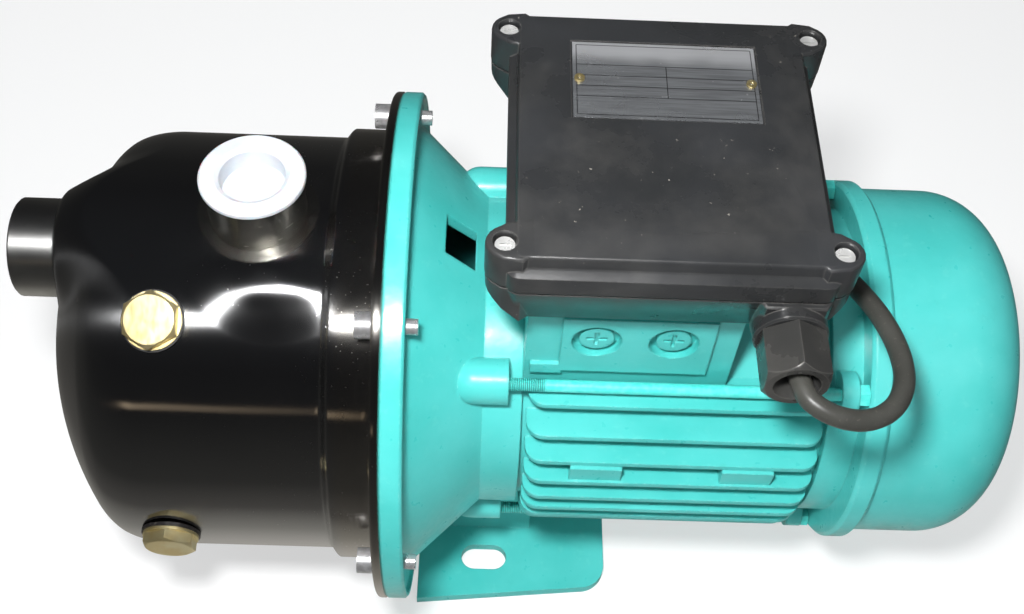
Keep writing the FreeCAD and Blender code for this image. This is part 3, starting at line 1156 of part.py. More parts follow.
# The coil hides the ends of both cables, which stop short of it by the soft clearance.
COIL_REACH = "(sqrt((coil_r + cable_r * 2)^2 - (coil_r - cable_r)^2) + soft_gap)"
ROUTE = [
    ("gland_x", "-46", "gland_z"), ("gland_x", "-86.5", "gland_z - 0.6"), ("151.6", "-96", "gland_z - 2.4"),
    ("167.6", "-96.6", "gland_z - 4.2"), ("179.4", "-85.6", "gland_z - 6"), ("179.6", "-62", "gland_z - 8"),
    ("170", "-38", "gland_z - 14"), ("150", "-12", "gland_z - 21"), ("146", "36", "gland_z - 22"),
    ("146", "78", "gland_z - 34"), ("148", "100", "gland_z - 76"), ("152", "104", "-50"),
    ("166", "120", CABLE_FLOOR), ("coil_x + coil_r", "156", CABLE_FLOOR), ("coil_x + coil_r", "coil_y - " + COIL_REACH, CABLE_FLOOR)]
LEAD = [
    ("coil_x - coil_r", "coil_y - " + COIL_REACH, CABLE_FLOOR), ("coil_x - coil_r", "coil_y - 48", CABLE_FLOOR),
    ("coil_x - coil_r - 1", "coil_y - 66", "-axis_height + plug_body_r - 4.4"),
    ("coil_x - coil_r - 1", "coil_y - plug_back + 7 + soft_gap * 4", "-axis_height + plug_body_r")]


def spots(route):
    """The route's corners in the assembly's frame."""
    return [Vector(number(x) - number("slot_x"), number(y), number(z) + number("axis_height")) for x, y, z in route]


def tube_wire(points):
    """Straight runs joined by tangent arcs; each arc takes up to 0.45 of its shorter run."""
    edges = []
    here = points[0]
    for before, corner, after in zip(points, points[1:], points[2:]):
        back, ahead = (before - corner), (after - corner)
        short = min(back.Length, ahead.Length)
        back.normalize()
        ahead.normalize()
        turn = math.pi - back.getAngle(ahead)
        if turn < 0.02:
            continue
        reach = 0.45 * short
        radius = reach / math.tan(turn / 2)
        start, stop = corner + back * reach, corner + ahead * reach
        middle = corner + (back + ahead).normalize() * (radius / math.cos(turn / 2) - radius)
        edges.append(Part.LineSegment(here, start).toShape())
        edges.append(Part.Arc(start, middle, stop).toShape())
        print("cable corner", [round(v, 1) for v in corner], "turn %.0f radius %.1f" % (math.degrees(turn), radius))
        here = stop
    edges.append(Part.LineSegment(here, points[-1]).toShape())
    return Part.Wire(edges)


def tube(label, route):
    wire = tube_wire(spots(route))
    radius = number("cable_r")
    edge = wire.Edges[0]
    profile = Part.Wire(Part.makeCircle(radius, edge.valueAt(edge.FirstParameter), edge.tangentAt(edge.FirstParameter)))
    made = wire.makePipeShell([profile], True, False)
    node = doc.addObject("Part::Feature", label)
    node.Label = label
    node.Shape = made
    NODES.append(node)
    print(label, "length %.0f" % wire.Length, "section x length %.0f volume %.0f" % (
        math.pi * radius**2 * wire.Length, made.Volume))
    return wire.Length


CORD_LENGTH = tube("power_cable", ROUTE) + tube("plug_lead", LEAD)
CORD_LENGTH += 2 * math.pi * number("coil_r") * number("coil_turns")
print("cord length %.0f" % CORD_LENGTH)

coil = new_body("cable_coil", "coil_x", "coil_y", "-axis_height")
section = new_sketch(coil, "coil_outline", "XZ_Plane")
outline(section, [
    ("coil_r - cable_r * 2", "cable_r"), ("coil_r - cable_r", "0.1"), ("coil_r + cable_r", "0.1"),
    ("coil_r + cable_r * 2", "cable_r"), ("coil_r + cable_r * 2", "cable_r * 3"),
    ("coil_r + cable_r", "cable_r * 4"), ("coil_r - cable_r", "cable_r * 4"), ("coil_r - cable_r * 2", "cable_r * 3")])
turned = coil.newObject("PartDesign::Revolution", "coil_ring")
turned.Profile = section
turned.ReferenceAxis = (section, ["V_Axis"])
turned.Angle = 360
coil.Tip = turned

plug_body = new_body("mains_plug", "coil_x - coil_r - 1", "coil_y - plug_back", "-axis_height + plug_body_r")
turned_y(plug_body, "plug_shape", [
    ("-7", "0"), ("-7", "cable_r + 1.2"), ("4", "cable_r + 2.2"), ("12", "plug_body_r - 6"), ("22", "plug_body_r - 1"),
    ("36", "plug_body_r - 0.4"), ("40", "plug_body_r - 2"), ("40", "0")], False)
pins = new_sketch(plug_body, "pin_outline", "XZ_Plane", "39")
for side in ("-", ""):
    circle(pins, side + "9.5", "0", "2.4")
extrude(plug_body, "pins", pins, "20")

# Check and write.
doc.recompute()
bad = [o.Name + " " + ",".join(o.State) for o in doc.Objects if "Invalid" in o.State or "Error" in o.State]
for node in NODES:
    if node.Shape.isNull() or not node.Shape.isValid() or node.Shape.Volume <= 0:
        bad.append("shape " + node.Label)
if bad:
    raise RuntimeError("; ".join(bad))
os.makedirs("parts", exist_ok=True)
for node in NODES:
    node.Shape.exportStep("parts/%s.step" % node.Label)
    print(node.Label, len(node.Shape.Solids), "solids", round(node.Shape.Volume), [round(v, 1) for v in (
        node.Shape.BoundBox.XMin, node.Shape.BoundBox.YMin, node.Shape.BoundBox.ZMin,
        node.Shape.BoundBox.XMax, node.Shape.BoundBox.YMax, node.Shape.BoundBox.ZMax)])
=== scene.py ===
import math

import bmesh
import bpy
from mathutils import Matrix, Vector


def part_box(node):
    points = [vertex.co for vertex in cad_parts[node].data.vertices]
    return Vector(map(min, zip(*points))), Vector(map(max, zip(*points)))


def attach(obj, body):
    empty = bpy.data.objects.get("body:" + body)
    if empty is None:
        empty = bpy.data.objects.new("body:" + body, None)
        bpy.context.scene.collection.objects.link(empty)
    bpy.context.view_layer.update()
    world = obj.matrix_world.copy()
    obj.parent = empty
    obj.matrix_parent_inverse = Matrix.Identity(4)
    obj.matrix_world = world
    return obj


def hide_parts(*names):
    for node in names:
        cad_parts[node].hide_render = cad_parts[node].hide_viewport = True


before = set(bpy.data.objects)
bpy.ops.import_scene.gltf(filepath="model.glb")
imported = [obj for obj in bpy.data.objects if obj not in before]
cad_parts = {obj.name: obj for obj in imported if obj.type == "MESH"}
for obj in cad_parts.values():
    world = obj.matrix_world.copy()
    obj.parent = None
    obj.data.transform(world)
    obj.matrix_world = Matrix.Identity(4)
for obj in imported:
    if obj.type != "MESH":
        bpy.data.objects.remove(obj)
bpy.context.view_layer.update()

# Camera at the photograph's viewing angle: where it stands, and its own axes.
EYE = Vector((-0.005190, -0.307743, 0.579215))
RIGHT = Vector((0.999156, 0.013399, 0.038821))
UP = Vector((-0.033298, 0.817608, 0.574812))
BACK = Vector((-0.024039, -0.575620, 0.817364))
LENS_MM = 45.005
SENSOR_MM = 36.0


def make_camera():
    data = bpy.data.cameras.new("camera")
    data.lens = LENS_MM
    data.sensor_width = SENSOR_MM
    data.clip_start = 0.02
    data.clip_end = 20.0
    camera = bpy.data.objects.new("camera", data)
    camera.matrix_world = Matrix.Translation(EYE) @ Matrix((RIGHT, UP, BACK)).transposed().to_4x4()
    bpy.context.scene.collection.objects.link(camera)
    bpy.context.scene.camera = camera


make_camera()
bpy.context.scene.view_settings.view_transform = "Standard"

# The mains cord: one soft curve from the gland, down behind the motor, round the coil and out to the plug.
CORD_R = 0.0037
COIL_CENTRE = (0.0898, 0.2150)
COIL_INNER = 0.0403
COIL_OUTER = 0.0477
COIL_LOW = 0.0039
COIL_HIGH = 0.0113
COIL_TURNS = 3.5
COIL_STEPS = 14
TURN_IN = (0.70, 0.92)
TURN_UP = (1.46, 1.70)
TURN_OUT = (2.50, 2.72)
TO_COIL = [
    (0.1000, -0.0600, 0.2220), (0.1000, -0.0850, 0.2215), (0.1088, -0.0938, 0.2204),
    (0.1226, -0.0958, 0.2186), (0.1350, -0.0880, 0.2170), (0.1406, -0.0726, 0.2156),
    (0.1372, -0.0496, 0.2130), (0.1266, -0.0260, 0.2080), (0.1126, 0.0020, 0.2010),
    (0.1058, 0.0400, 0.1990), (0.1058, 0.0800, 0.1860), (0.1078, 0.1010, 0.1440),
    (0.1118, 0.1050, 0.0620), (0.1262, 0.1210, 0.0040), (0.1352, 0.1560, 0.0039),
    (0.1376, 0.1880, 0.0039),
]
FROM_COIL = [
    (0.0424, 0.1880, 0.0113), (0.0440, 0.1660, 0.0120), (0.0448, 0.1490, 0.0176),
    (0.0448, 0.1380, 0.0185), (0.0448, 0.1303, 0.0185),
]


def ease(turn, start, stop):
    """0 before start, 1 after stop, smooth between."""
    t = min(1.0, max(0.0, (turn - start) / (stop - start)))
    return t * t * (3.0 - 2.0 * t)


def coil_points():
    """From the outer row to the inner one on the floor, then up, and back out above it."""
    swell = 1.0 / math.cos(math.pi / COIL_STEPS)
    made = []
    for k in range(1, int(COIL_TURNS * COIL_STEPS)):
        turn = k / COIL_STEPS
        inward = ease(turn, *TURN_IN) - ease(turn, *TURN_OUT)
        radius = (COIL_OUTER + (COIL_INNER - COIL_OUTER) * inward) * swell
        rise = ease(turn, *TURN_UP)
        angle = 2.0 * math.pi * turn
        made.append((COIL_CENTRE[0] + radius * math.cos(angle), COIL_CENTRE[1] + radius * math.sin(angle),
                     COIL_LOW + (COIL_HIGH - COIL_LOW) * rise))
    return made


def make_cord():
    data = bpy.data.curves.new("cord", "CURVE")
    data.dimensions = "3D"
    data.bevel_depth = 1.0
    data.bevel_resolution = 6
    data.use_fill_caps = True
    spots = TO_COIL + coil_points() + FROM_COIL
    line = data.splines.new("NURBS")
    line.points.add(len(spots) - 1)
    for point, spot in zip(line.points, spots):
        point.co = (*spot, 1.0)
        point.radius = CORD_R
    line.order_u = 3
    line.use_endpoint_u = True
    line.resolution_u = 12
    cord = bpy.data.objects.new("mains_cord", data)
    bpy.context.scene.collection.objects.link(cord)
    return cord


def new_piece(name, build):
    """A mesh piece filled in by build(bmesh)."""
    mesh = bpy.data.meshes.new(name)
    work = bmesh.new()
    build(work)
    bmesh.ops.recalc_face_normals(work, faces=work.faces)
    work.to_mesh(mesh)
    work.free()
    thing = bpy.data.objects.new(name, mesh)
    bpy.context.scene.collection.objects.link(thing)
    return thing


def walls_between(work, low, high):
    for k in range(len(low)):
        n = (k + 1) % len(low)
        work.faces.new((low[k], low[n], high[n], high[k]))


def ring(x, y, radius, count):
    """Points round a circle."""
    turns = [2.0 * math.pi * k / count for k in range(count)]
    return [(x + radius * math.cos(turn), y + radius * math.sin(turn)) for turn in turns]


def smooth_sides(thing):
    """Smooth shading on every four-sided face, and flat ends."""
    for face in thing.data.polygons:
        face.use_smooth = len(face.vertices) == 4
    return thing


TIE_ANGLE = math.radians(62.0)
TIE_HALF_WIDTH = 0.0026
TIE_THICK = 0.0009
TIE_HALF = 0.0079
TIE_CORNER = 0.0036
TIE_SQUARE = 1.6
TIE_POINTS = 40
TIE_LOWEST_OUT = 0.0001
TIE_LOWEST_IN = 0.0004


def strap_reach(turn, corner):
    """How far out a loop with flat sides and round corners lies, from the cosine or sine of its angle."""
    reach = TIE_HALF - TIE_CORNER
    return max(-reach, min(reach, TIE_SQUARE * reach * turn)) + corner * turn


def make_tie():
    """A soft strap round the coil's bundle."""
    middle = 0.5 * (COIL_LOW + COIL_HIGH)
    bundle = 0.5 * (COIL_INNER + COIL_OUTER)
    out = Vector((math.cos(TIE_ANGLE), math.sin(TIE_ANGLE), 0.0))
    along = Vector((-math.sin(TIE_ANGLE), math.cos(TIE_ANGLE), 0.0))
    centre = Vector((COIL_CENTRE[0], COIL_CENTRE[1], middle)) + out * bundle

    def build(work):
        loops = []
        for side in (-1, 1):
            for thick in (0.0, TIE_THICK):
                loop = []
                for k in range(TIE_POINTS):
                    angle = 2.0 * math.pi * k / TIE_POINTS
                    u = strap_reach(math.cos(angle), TIE_CORNER + thick)
                    v = strap_reach(math.sin(angle), TIE_CORNER + thick)
                    spot = centre + out * u + Vector((0.0, 0.0, v)) + along * (side * TIE_HALF_WIDTH)
                    spot.z = max(spot.z, TIE_LOWEST_OUT if thick else TIE_LOWEST_IN)
                    loop.append(work.verts.new(spot))
                loops.append(loop)
        low_in, low_out, high_in, high_out = loops
        pairs = [(low_in, low_out), (low_out, high_out), (high_out, high_in), (high_in, low_in)]
        for first, second in pairs:
            walls_between(work, first, second)

    return new_piece("coil_tie", build)


PLUG_X, PLUG_Z = 0.0448, 0.0185
PLUG_BACK_Y = 0.1300
PLUG_PROFILE = [
    (0.0000, 0.0041), (0.0000, 0.0049), (0.0016, 0.0053), (0.0022, 0.0046), (0.0030, 0.0046),
    (0.0036, 0.0055), (0.0052, 0.0056), (0.0058, 0.0048), (0.0066, 0.0048), (0.0072, 0.0058),
    (0.0096, 0.0061), (0.0130, 0.0072), (0.0180, 0.0108), (0.0225, 0.0146), (0.0275, 0.0171),
    (0.0320, 0.0181), (0.0430, 0.0182), (0.0448, 0.0178), (0.0462, 0.0166), (0.0470, 0.0150),
    (0.0464, 0.0120),
]
PLUG_SIDES = 48
PLUG_WIDEST = 0.0185
PLUG_FLAT = 0.0158
GRIP_STARTS = (0.016, 0.030)
GRIP_STOPS = (0.040, 0.044)
PIN_SPACING = 0.0190
PIN_R = 0.0024
PIN_SIDES = 20
PIN_PROFILE = [(0.0440, 1.0), (0.0640, 1.0), (0.0652, 0.85), (0.0660, 0.4)]


def make_plug():
    """Round moulded plug: ribbed sleeve, swelling neck, flats for the fingers, a rim round its face."""
    def build(work):
        loops = []
        for back, radius in PLUG_PROFILE:
            grip = ease(back, *GRIP_STARTS) * (1.0 - ease(back, *GRIP_STOPS))
            limit = PLUG_FLAT + (PLUG_WIDEST - PLUG_FLAT) * (1.0 - grip)
            points = [(max(-limit, min(limit, x)), z) for x, z in ring(0.0, 0.0, radius, PLUG_SIDES)]
            loops.append([work.verts.new((PLUG_X + x, PLUG_BACK_Y - back, PLUG_Z + z)) for x, z in points])
        for first, second in zip(loops, loops[1:]):
            walls_between(work, first, second)
        work.faces.new(loops[-1])
        work.faces.new(loops[0])

    return smooth_sides(new_piece("moulded_plug", build))


def make_pins():
    """The plug's two round pins, with rounded tips."""
    def build(work):
        for side in (-0.5, 0.5):
            loops = []
            for out, share in PIN_PROFILE:
                points = ring(PLUG_X + side * PIN_SPACING, PLUG_Z, PIN_R * share, PIN_SIDES)
                loops.append([work.verts.new((x, PLUG_BACK_Y - out, z)) for x, z in points])
            for first, second in zip(loops, loops[1:]):
                walls_between(work, first, second)
            work.faces.new(loops[-1])
            work.faces.new(loops[0])

    return smooth_sides(new_piece("plug_pins", build))


# The casing's drawn shell: a domed front, a hood that runs into it softly, a rounded step and the flange.
FLANGE_X = -0.0402
AXIS_Z = 0.112
BARREL_R = 0.0881
CORNER_R = 0.0242
DOME_R = 0.1319
DOME_X = -0.1819
PORT_Z = 0.0605
HOOD_FACE_X = -0.1682
HOOD_EDGE_X = -0.1632
HOOD_EDGE_R = 0.0258
HOOD_SLOPE = 0.565
HOOD_BLEND = 0.0075
HOOD_EDGE_BLEND = 0.0024
TRIM_ROUND = 0.0045
STEP_X = -0.0644
STEP_LENGTH = 0.0042
STEP_RISE = 0.0039
LIP = 0.0039
LIP_ROUND = 0.0016
FLANGE_R = 0.1082
SHELL_WALL = 0.0018
LIP_BREAK = 0.0006
LIP_BEND = [(0.0040, 0.0), (0.0012, 0.0002), (0.0003, 0.0010), (0.0, 0.0026)]
AROUND = 360
FRONT_ROWS = 150
BARREL_ROWS = 46
STEP_ROWS = 12
LIP_ROWS = 4


def smooth_min(a, b, blend):
    mix = max(blend - abs(a - b), 0.0) / blend
    return min(a, b) - mix * mix * blend * 0.25


def dome_front(radius):
    """The turned form's own front, dome and corner arc, at a distance from the shaft line."""
    cap_x = DOME_X + DOME_R
    corner_x = cap_x - math.sqrt((DOME_R - CORNER_R) ** 2 - (BARREL_R - CORNER_R) ** 2)
    lean = math.asin((BARREL_R - CORNER_R) / (DOME_R - CORNER_R))
    if radius <= DOME_R * math.sin(lean):
        return cap_x - math.sqrt(DOME_R ** 2 - radius ** 2)
    reach = min(radius - (BARREL_R - CORNER_R), CORNER_R)
    return corner_x - math.sqrt(max(CORNER_R ** 2 - reach ** 2, 0.0))


def hood_front(from_port):
    """The hood's front, a flat round the port and a cone behind it, at a distance from the port's axis."""
    cone = HOOD_EDGE_X + (from_port - HOOD_EDGE_R) / HOOD_SLOPE
    return -smooth_min(-HOOD_FACE_X, -cone, HOOD_EDGE_BLEND)


def casing_outline(angle):
    """Points (x, radius) from the nose to the flange joint, at one angle from straight up."""
    points = []
    for k in range(FRONT_ROWS + 1):
        radius = BARREL_R * math.sin(0.5 * math.pi * k / FRONT_ROWS)
        across, up = radius * math.sin(angle), radius * math.cos(angle)
        from_port = math.hypot(across, up - PORT_Z)
        x = smooth_min(dome_front(radius), hood_front(from_port), HOOD_BLEND)
        over = radius - (BARREL_R - TRIM_ROUND)
        if over > 0.0:
            x += TRIM_ROUND * (1.0 - math.sqrt(max(1.0 - (over / TRIM_ROUND) ** 2, 0.0)))
        points.append((x, radius))
    start = points[-1][0]
    for k in range(1, BARREL_ROWS + 1):
        points.append((start + (STEP_X - start) * k / BARREL_ROWS, BARREL_R))
    for k in range(1, STEP_ROWS + 1):
        share = k / STEP_ROWS
        points.append((STEP_X + STEP_LENGTH * share, BARREL_R + STEP_RISE * ease(share, 0.0, 1.0)))
    mouth = BARREL_R + STEP_RISE
    back = FLANGE_X - LIP
    points += [(back - before, mouth + above) for before, above in LIP_BEND]
    points.append((back, FLANGE_R - LIP_ROUND))
    for k in range(1, LIP_ROWS + 1):
        turn = 0.5 * math.pi * k / LIP_ROWS
        forward, inward = 1.0 - math.cos(turn), 1.0 - math.sin(turn)
        points.append((back + LIP_ROUND * forward, FLANGE_R - LIP_ROUND * inward))
    points += [(FLANGE_X - LIP_BREAK, FLANGE_R), (FLANGE_X, FLANGE_R - LIP_BREAK), (FLANGE_X, mouth)]
    return points


HOLE_SIDES = 64


def cutter(name, spot, direction, radius, length):
    """A plain cylinder that takes a hole out of the shell, from a spot outwards along a direction."""
    def build(work):
        bmesh.ops.create_cone(work, cap_ends=True, segments=HOLE_SIDES, radius1=radius, radius2=radius,
                              depth=length)
        turn = Vector((0.0, 0.0, 1.0)).rotation_difference(Vector(direction)).to_matrix().to_4x4()
        middle = Vector(spot) + Vector(direction).normalized() * (0.5 * length)
        bmesh.ops.transform(work, matrix=Matrix.Translation(middle) @ turn, verts=work.verts)

    return new_piece(name, build)


PLUG_HOLE_R = 0.0084
PLUG_HOLE_LENGTH = 0.110
HOLES = [
    ((-0.2000, 0.0, AXIS_Z + PORT_Z), (1.0, 0.0, 0.0), 0.0190, 0.040),
    ((-0.0906, 0.0, AXIS_Z + 0.060), (0.0, 0.0, 1.0), 0.0180, 0.060),
    ((-0.1249, 0.0, AXIS_Z), (0.0, -0.5, 0.8660254), PLUG_HOLE_R, PLUG_HOLE_LENGTH),
    ((-0.1262, 0.0, AXIS_Z), (0.0, -0.9945219, -0.1045285), PLUG_HOLE_R, PLUG_HOLE_LENGTH),
]


def make_casing():
    """The drawn shell, thickened inwards, with its holes for the ports and plugs."""
    def build(work):
        rows = []
        for k in range(AROUND):
            angle = 2.0 * math.pi * k / AROUND
            column = []
            for x, radius in casing_outline(angle)[1:]:
                y, z = radius * math.sin(angle), AXIS_Z + radius * math.cos(angle)
                column.append(work.verts.new((x, y, z)))
            rows.append(column)
        nose = work.verts.new((casing_outline(0.0)[0][0], 0.0, AXIS_Z))
        for k, column in enumerate(rows):
            beside = rows[(k + 1) % AROUND]
            work.faces.new((nose, column[0], beside[0]))
            for j in range(len(column) - 1):
                work.faces.new((column[j], column[j + 1], beside[j + 1], beside[j]))

    shell = new_piece("casing_shell", build)
    thick = shell.modifiers.new("wall", "SOLIDIFY")
    thick.thickness = SHELL_WALL
    thick.offset = -1.0
    cutters = []
    for k, (spot, direction, radius, length) in enumerate(HOLES):
        tool = cutter("hole_%d" % k, spot, direction, radius, length)
        cutters.append(tool)
        hole = shell.modifiers.new("hole_%d" % k, "BOOLEAN")
        hole.operation = "DIFFERENCE"
        hole.solver = "EXACT"
        hole.object = tool
    seen = bpy.context.evaluated_depsgraph_get()
    made = bpy.data.meshes.new_from_object(shell.evaluated_get(seen), depsgraph=seen)
    shell.modifiers.clear()
    shell.data = made
    for tool in cutters:
        bpy.data.objects.remove(tool, do_unlink=True)
    shell.data.shade_smooth()
    return shell


# The terminal box: a lid with a sloping ledge and a base that narrows, both with lugs for the screws.
BOX_X = 0.0579
BOX_HALF_X = 0.0557
BOX_HALF_Y = 0.0604
BOX_CORNER = 0.0050
CORNER_STEPS = 6
BOX_TOP = 0.2512
BOX_SPLIT = 0.2356
BOX_BOTTOM = 0.2154
LUG_X = 0.0560
LUG_Y = 0.0503
LUG_R = 0.0066
SINK_R = 0.0042
SINK_Z = 0.2469
SINK_SIDES = 28
LUG_RAISE = 0.001
LUG_DROP = 0.0010
LUG_INSET_LOW = 0.0004
LUG_INSET_HIGH = 0.0002
LUG_RAMP_X = 0.0507
LUG_RAMP_SLOPE = 1.09
PLATE_AREA = ((0.0244, 0.0055), (0.0926, 0.0443))
PLATE_FLOOR = 0.2505
SHARP_EDGE = math.radians(38.0)
BLOCK_X = 0.1000
BLOCK_Z = 0.2220
BLOCK_OUTLINE = [
    (BLOCK_X - 0.0122, -0.0484), (BLOCK_X - 0.0122, -0.0594), (BLOCK_X - 0.0102, -0.0620),
    (BLOCK_X + 0.0102, -0.0620), (BLOCK_X + 0.0122, -0.0594), (BLOCK_X + 0.0122, -0.0484),
]
SEAT_SIDES = 48
SEAT_PROFILE = [(-0.0600, 0.0129), (-0.0652, 0.0129), (-0.0659, 0.0122), (-0.0659, 0.0100)]
LID_WALL = [
    (BOX_SPLIT, 0.0004), (BOX_SPLIT + 0.0004, 0.0), (BOX_TOP - 0.0078, 0.0), (BOX_TOP - 0.0074, 0.0001),
    (BOX_TOP - 0.0071, 0.0005), (BOX_TOP - 0.0055, 0.0026), (BOX_TOP - 0.0051, 0.0030),
    (BOX_TOP - 0.0046, 0.0031), (BOX_TOP - 0.0010, 0.0033), (BOX_TOP - 0.0005, 0.0035),
    (BOX_TOP - 0.0001, 0.0039), (BOX_TOP, 0.0044),
]
LUG_TOP = BOX_TOP - 0.00005
LUG_WALL = [
    (BOX_SPLIT, 0.0003), (BOX_SPLIT + 0.0003, 0.0), (BOX_TOP - 0.0014, 0.0),
    (BOX_TOP - 0.0007, 0.0002), (BOX_TOP - 0.0002, 0.0007), (LUG_TOP, 0.0014),
]
BASE_WALL = [
    (BOX_BOTTOM, 0.0054), (BOX_BOTTOM + 0.0005, 0.0049), (BOX_SPLIT - 0.0012, 0.0004),
    (BOX_SPLIT - 0.0008, 0.0007),
]
BLOCK_WALL = [
    (BOX_BOTTOM + 0.0004, 0.0003), (BOX_BOTTOM + 0.0008, 0.0), (BOX_SPLIT - 0.0016, 0.0),
    (BOX_SPLIT - 0.0010, 0.0006),
]


def loop_at(work, outline, z):
    """Corners of an outline at a height, or at a height that depends on x."""
    return [work.verts.new((x, y, z if not callable(z) else z(x))) for x, y in outline]


def drawn_in(outline, inset):
    """A convex outline, listed counter-clockwise, moved in by an inset on every side."""
    made = []
    for k, here in enumerate(outline):
        before, after = Vector(outline[k - 1]), Vector(outline[(k + 1) % len(outline)])
        first, second = (Vector(here) - before).normalized(), (after - Vector(here)).normalized()
        a, b = Vector((-first.y, first.x)), Vector((-second.y, second.x))
        both = a + b
        made.append(tuple(Vector(here) + both * (inset / max(0.3, 0.5 * both.length_squared))))
    return made


def stack(work, outline, levels):
    """Walls through a list of (height, inset), closed below; gives the highest loop."""
    loops = [loop_at(work, drawn_in(outline, inset), z) for z, inset in levels]
    for low, high in zip(loops, loops[1:]):
        walls_between(work, low, high)
    work.faces.new(list(reversed(loops[0])))
    return loops[-1]


def fill_with_hole(work, outer, inner):
    """A flat face between two loops."""
    edges = []
    for loop in (outer, inner):
        for k in range(len(loop)):
            edge = work.edges.get((loop[k], loop[(k + 1) % len(loop)]))
            edges.append(edge or work.edges.new((loop[k], loop[(k + 1) % len(loop)])))
    bmesh.ops.triangle_fill(work, use_beauty=True, use_dissolve=False, edges=edges)


def rounded_box(half_x, half_y, corner):
    """The box's outline, with round corners."""
    outline = []
    for sx, sy, start in ((1, -1, -0.5), (1, 1, 0.0), (-1, 1, 0.5), (-1, -1, 1.0)):
        for k in range(CORNER_STEPS + 1):
            angle = math.pi * (start + 0.5 * k / CORNER_STEPS)
            outline.append((BOX_X + sx * (half_x - corner) + corner * math.cos(angle),
                            sy * (half_y - corner) + corner * math.sin(angle)))
    return outline


def lug_outline(sx, sy):
    """One corner lug: round at its outer end, running into the box's sides."""
    points = [(-1.5, -1.5), (-0.1, -1.25)]
    turns = [math.pi * share for share in (-0.3, -0.2, -0.1, 0.0, 0.1, 0.2, 0.3)]
    points += [(math.cos(turn), math.sin(turn)) for turn in turns]
    points += [(0.1, 1.12), (-0.9, 1.25), (-1.5, 0.8)]
    made = [(BOX_X + sx * (LUG_X + LUG_R * u), sy * (LUG_Y + LUG_R * v)) for u, v in points]
    return made if sx * sy > 0 else list(reversed(made))


def finish_hard(thing):
    """Smooth shading that breaks at the sharper edges."""
    thing.data.shade_smooth()
    thing.data.set_sharp_from_angle(angle=SHARP_EDGE)
    return thing


def make_lid():
    """The lid, with the plate's recess and a sunk screw hole in each lug."""
    def build(work):
        outline = rounded_box(BOX_HALF_X, BOX_HALF_Y, BOX_CORNER)
        top = stack(work, outline, LID_WALL)
        (x0, y0), (x1, y1) = PLATE_AREA
        area = [(x0, y0), (x1, y0), (x1, y1), (x0, y1)]
        edge = loop_at(work, area, BOX_TOP)
        fill_with_hole(work, top, edge)
        low = loop_at(work, area, PLATE_FLOOR)
        walls_between(work, low, edge)
        work.faces.new(low)
        for sx in (1, -1):
            for sy in (1, -1):
                top = stack(work, lug_outline(sx, sy), LUG_WALL)
                sink = ring(BOX_X + sx * LUG_X, sy * LUG_Y, SINK_R, SINK_SIDES)
                edge = loop_at(work, sink, LUG_TOP)
                fill_with_hole(work, top, edge)
                low = loop_at(work, sink, SINK_Z)
                walls_between(work, low, edge)
                work.faces.new(low)

    return finish_hard(new_piece("box_lid", build))


def lug_underside(x):
    """A base lug's lower side, which slopes up towards the lug's outer end."""
    lowest = BOX_BOTTOM + LUG_RAISE
    return max(lowest, lowest + (abs(x - BOX_X) - LUG_RAMP_X) * LUG_RAMP_SLOPE)


def make_base():
    """The base, with its lugs, the block behind the gland and the gland's round seat."""
    def build(work):
        outline = rounded_box(BOX_HALF_X, BOX_HALF_Y, BOX_CORNER)
        work.faces.new(stack(work, outline, BASE_WALL))
        for sx in (1, -1):
            for sy in (1, -1):
                around = lug_outline(sx, sy)
                low = loop_at(work, drawn_in(around, LUG_INSET_LOW), lug_underside)
                high = loop_at(work, drawn_in(around, LUG_INSET_HIGH), BOX_SPLIT - LUG_DROP)
                walls_between(work, low, high)
                work.faces.new(high)
                work.faces.new(list(reversed(low)))
        work.faces.new(stack(work, BLOCK_OUTLINE, BLOCK_WALL))
        loops = []
        for y, radius in SEAT_PROFILE:
            loops.append([work.verts.new((BLOCK_X + u, y, max(BLOCK_Z + v, BOX_BOTTOM)))
                          for u, v in ring(0.0, 0.0, radius, SEAT_SIDES)])
        for first, second in zip(loops, loops[1:]):
            walls_between(work, first, second)
        work.faces.new(loops[-1])

    return finish_hard(new_piece("box_base", build))


cord = make_cord()
tie = make_tie()
plug = make_plug()
pins = make_pins()
casing = make_casing()
lid = make_lid()
base = make_base()
for piece in (cord, tie, plug, pins, casing, lid, base):
    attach(piece, "pump")
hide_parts("terminal_cover")
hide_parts("terminal_base")
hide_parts("pump_casing")
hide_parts("power_cable", "cable_coil", "plug_lead")
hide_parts("mains_plug")


def srgb(red, green, blue):
    """A colour picked from a screen, 0 to 255, as the linear values a shader takes."""
    def linear(level):
        level = level / 255.0
        return level / 12.92 if level <= 0.04045 else ((level + 0.055) / 1.055) ** 2.4
    return (linear(red), linear(green), linear(blue), 1.0)


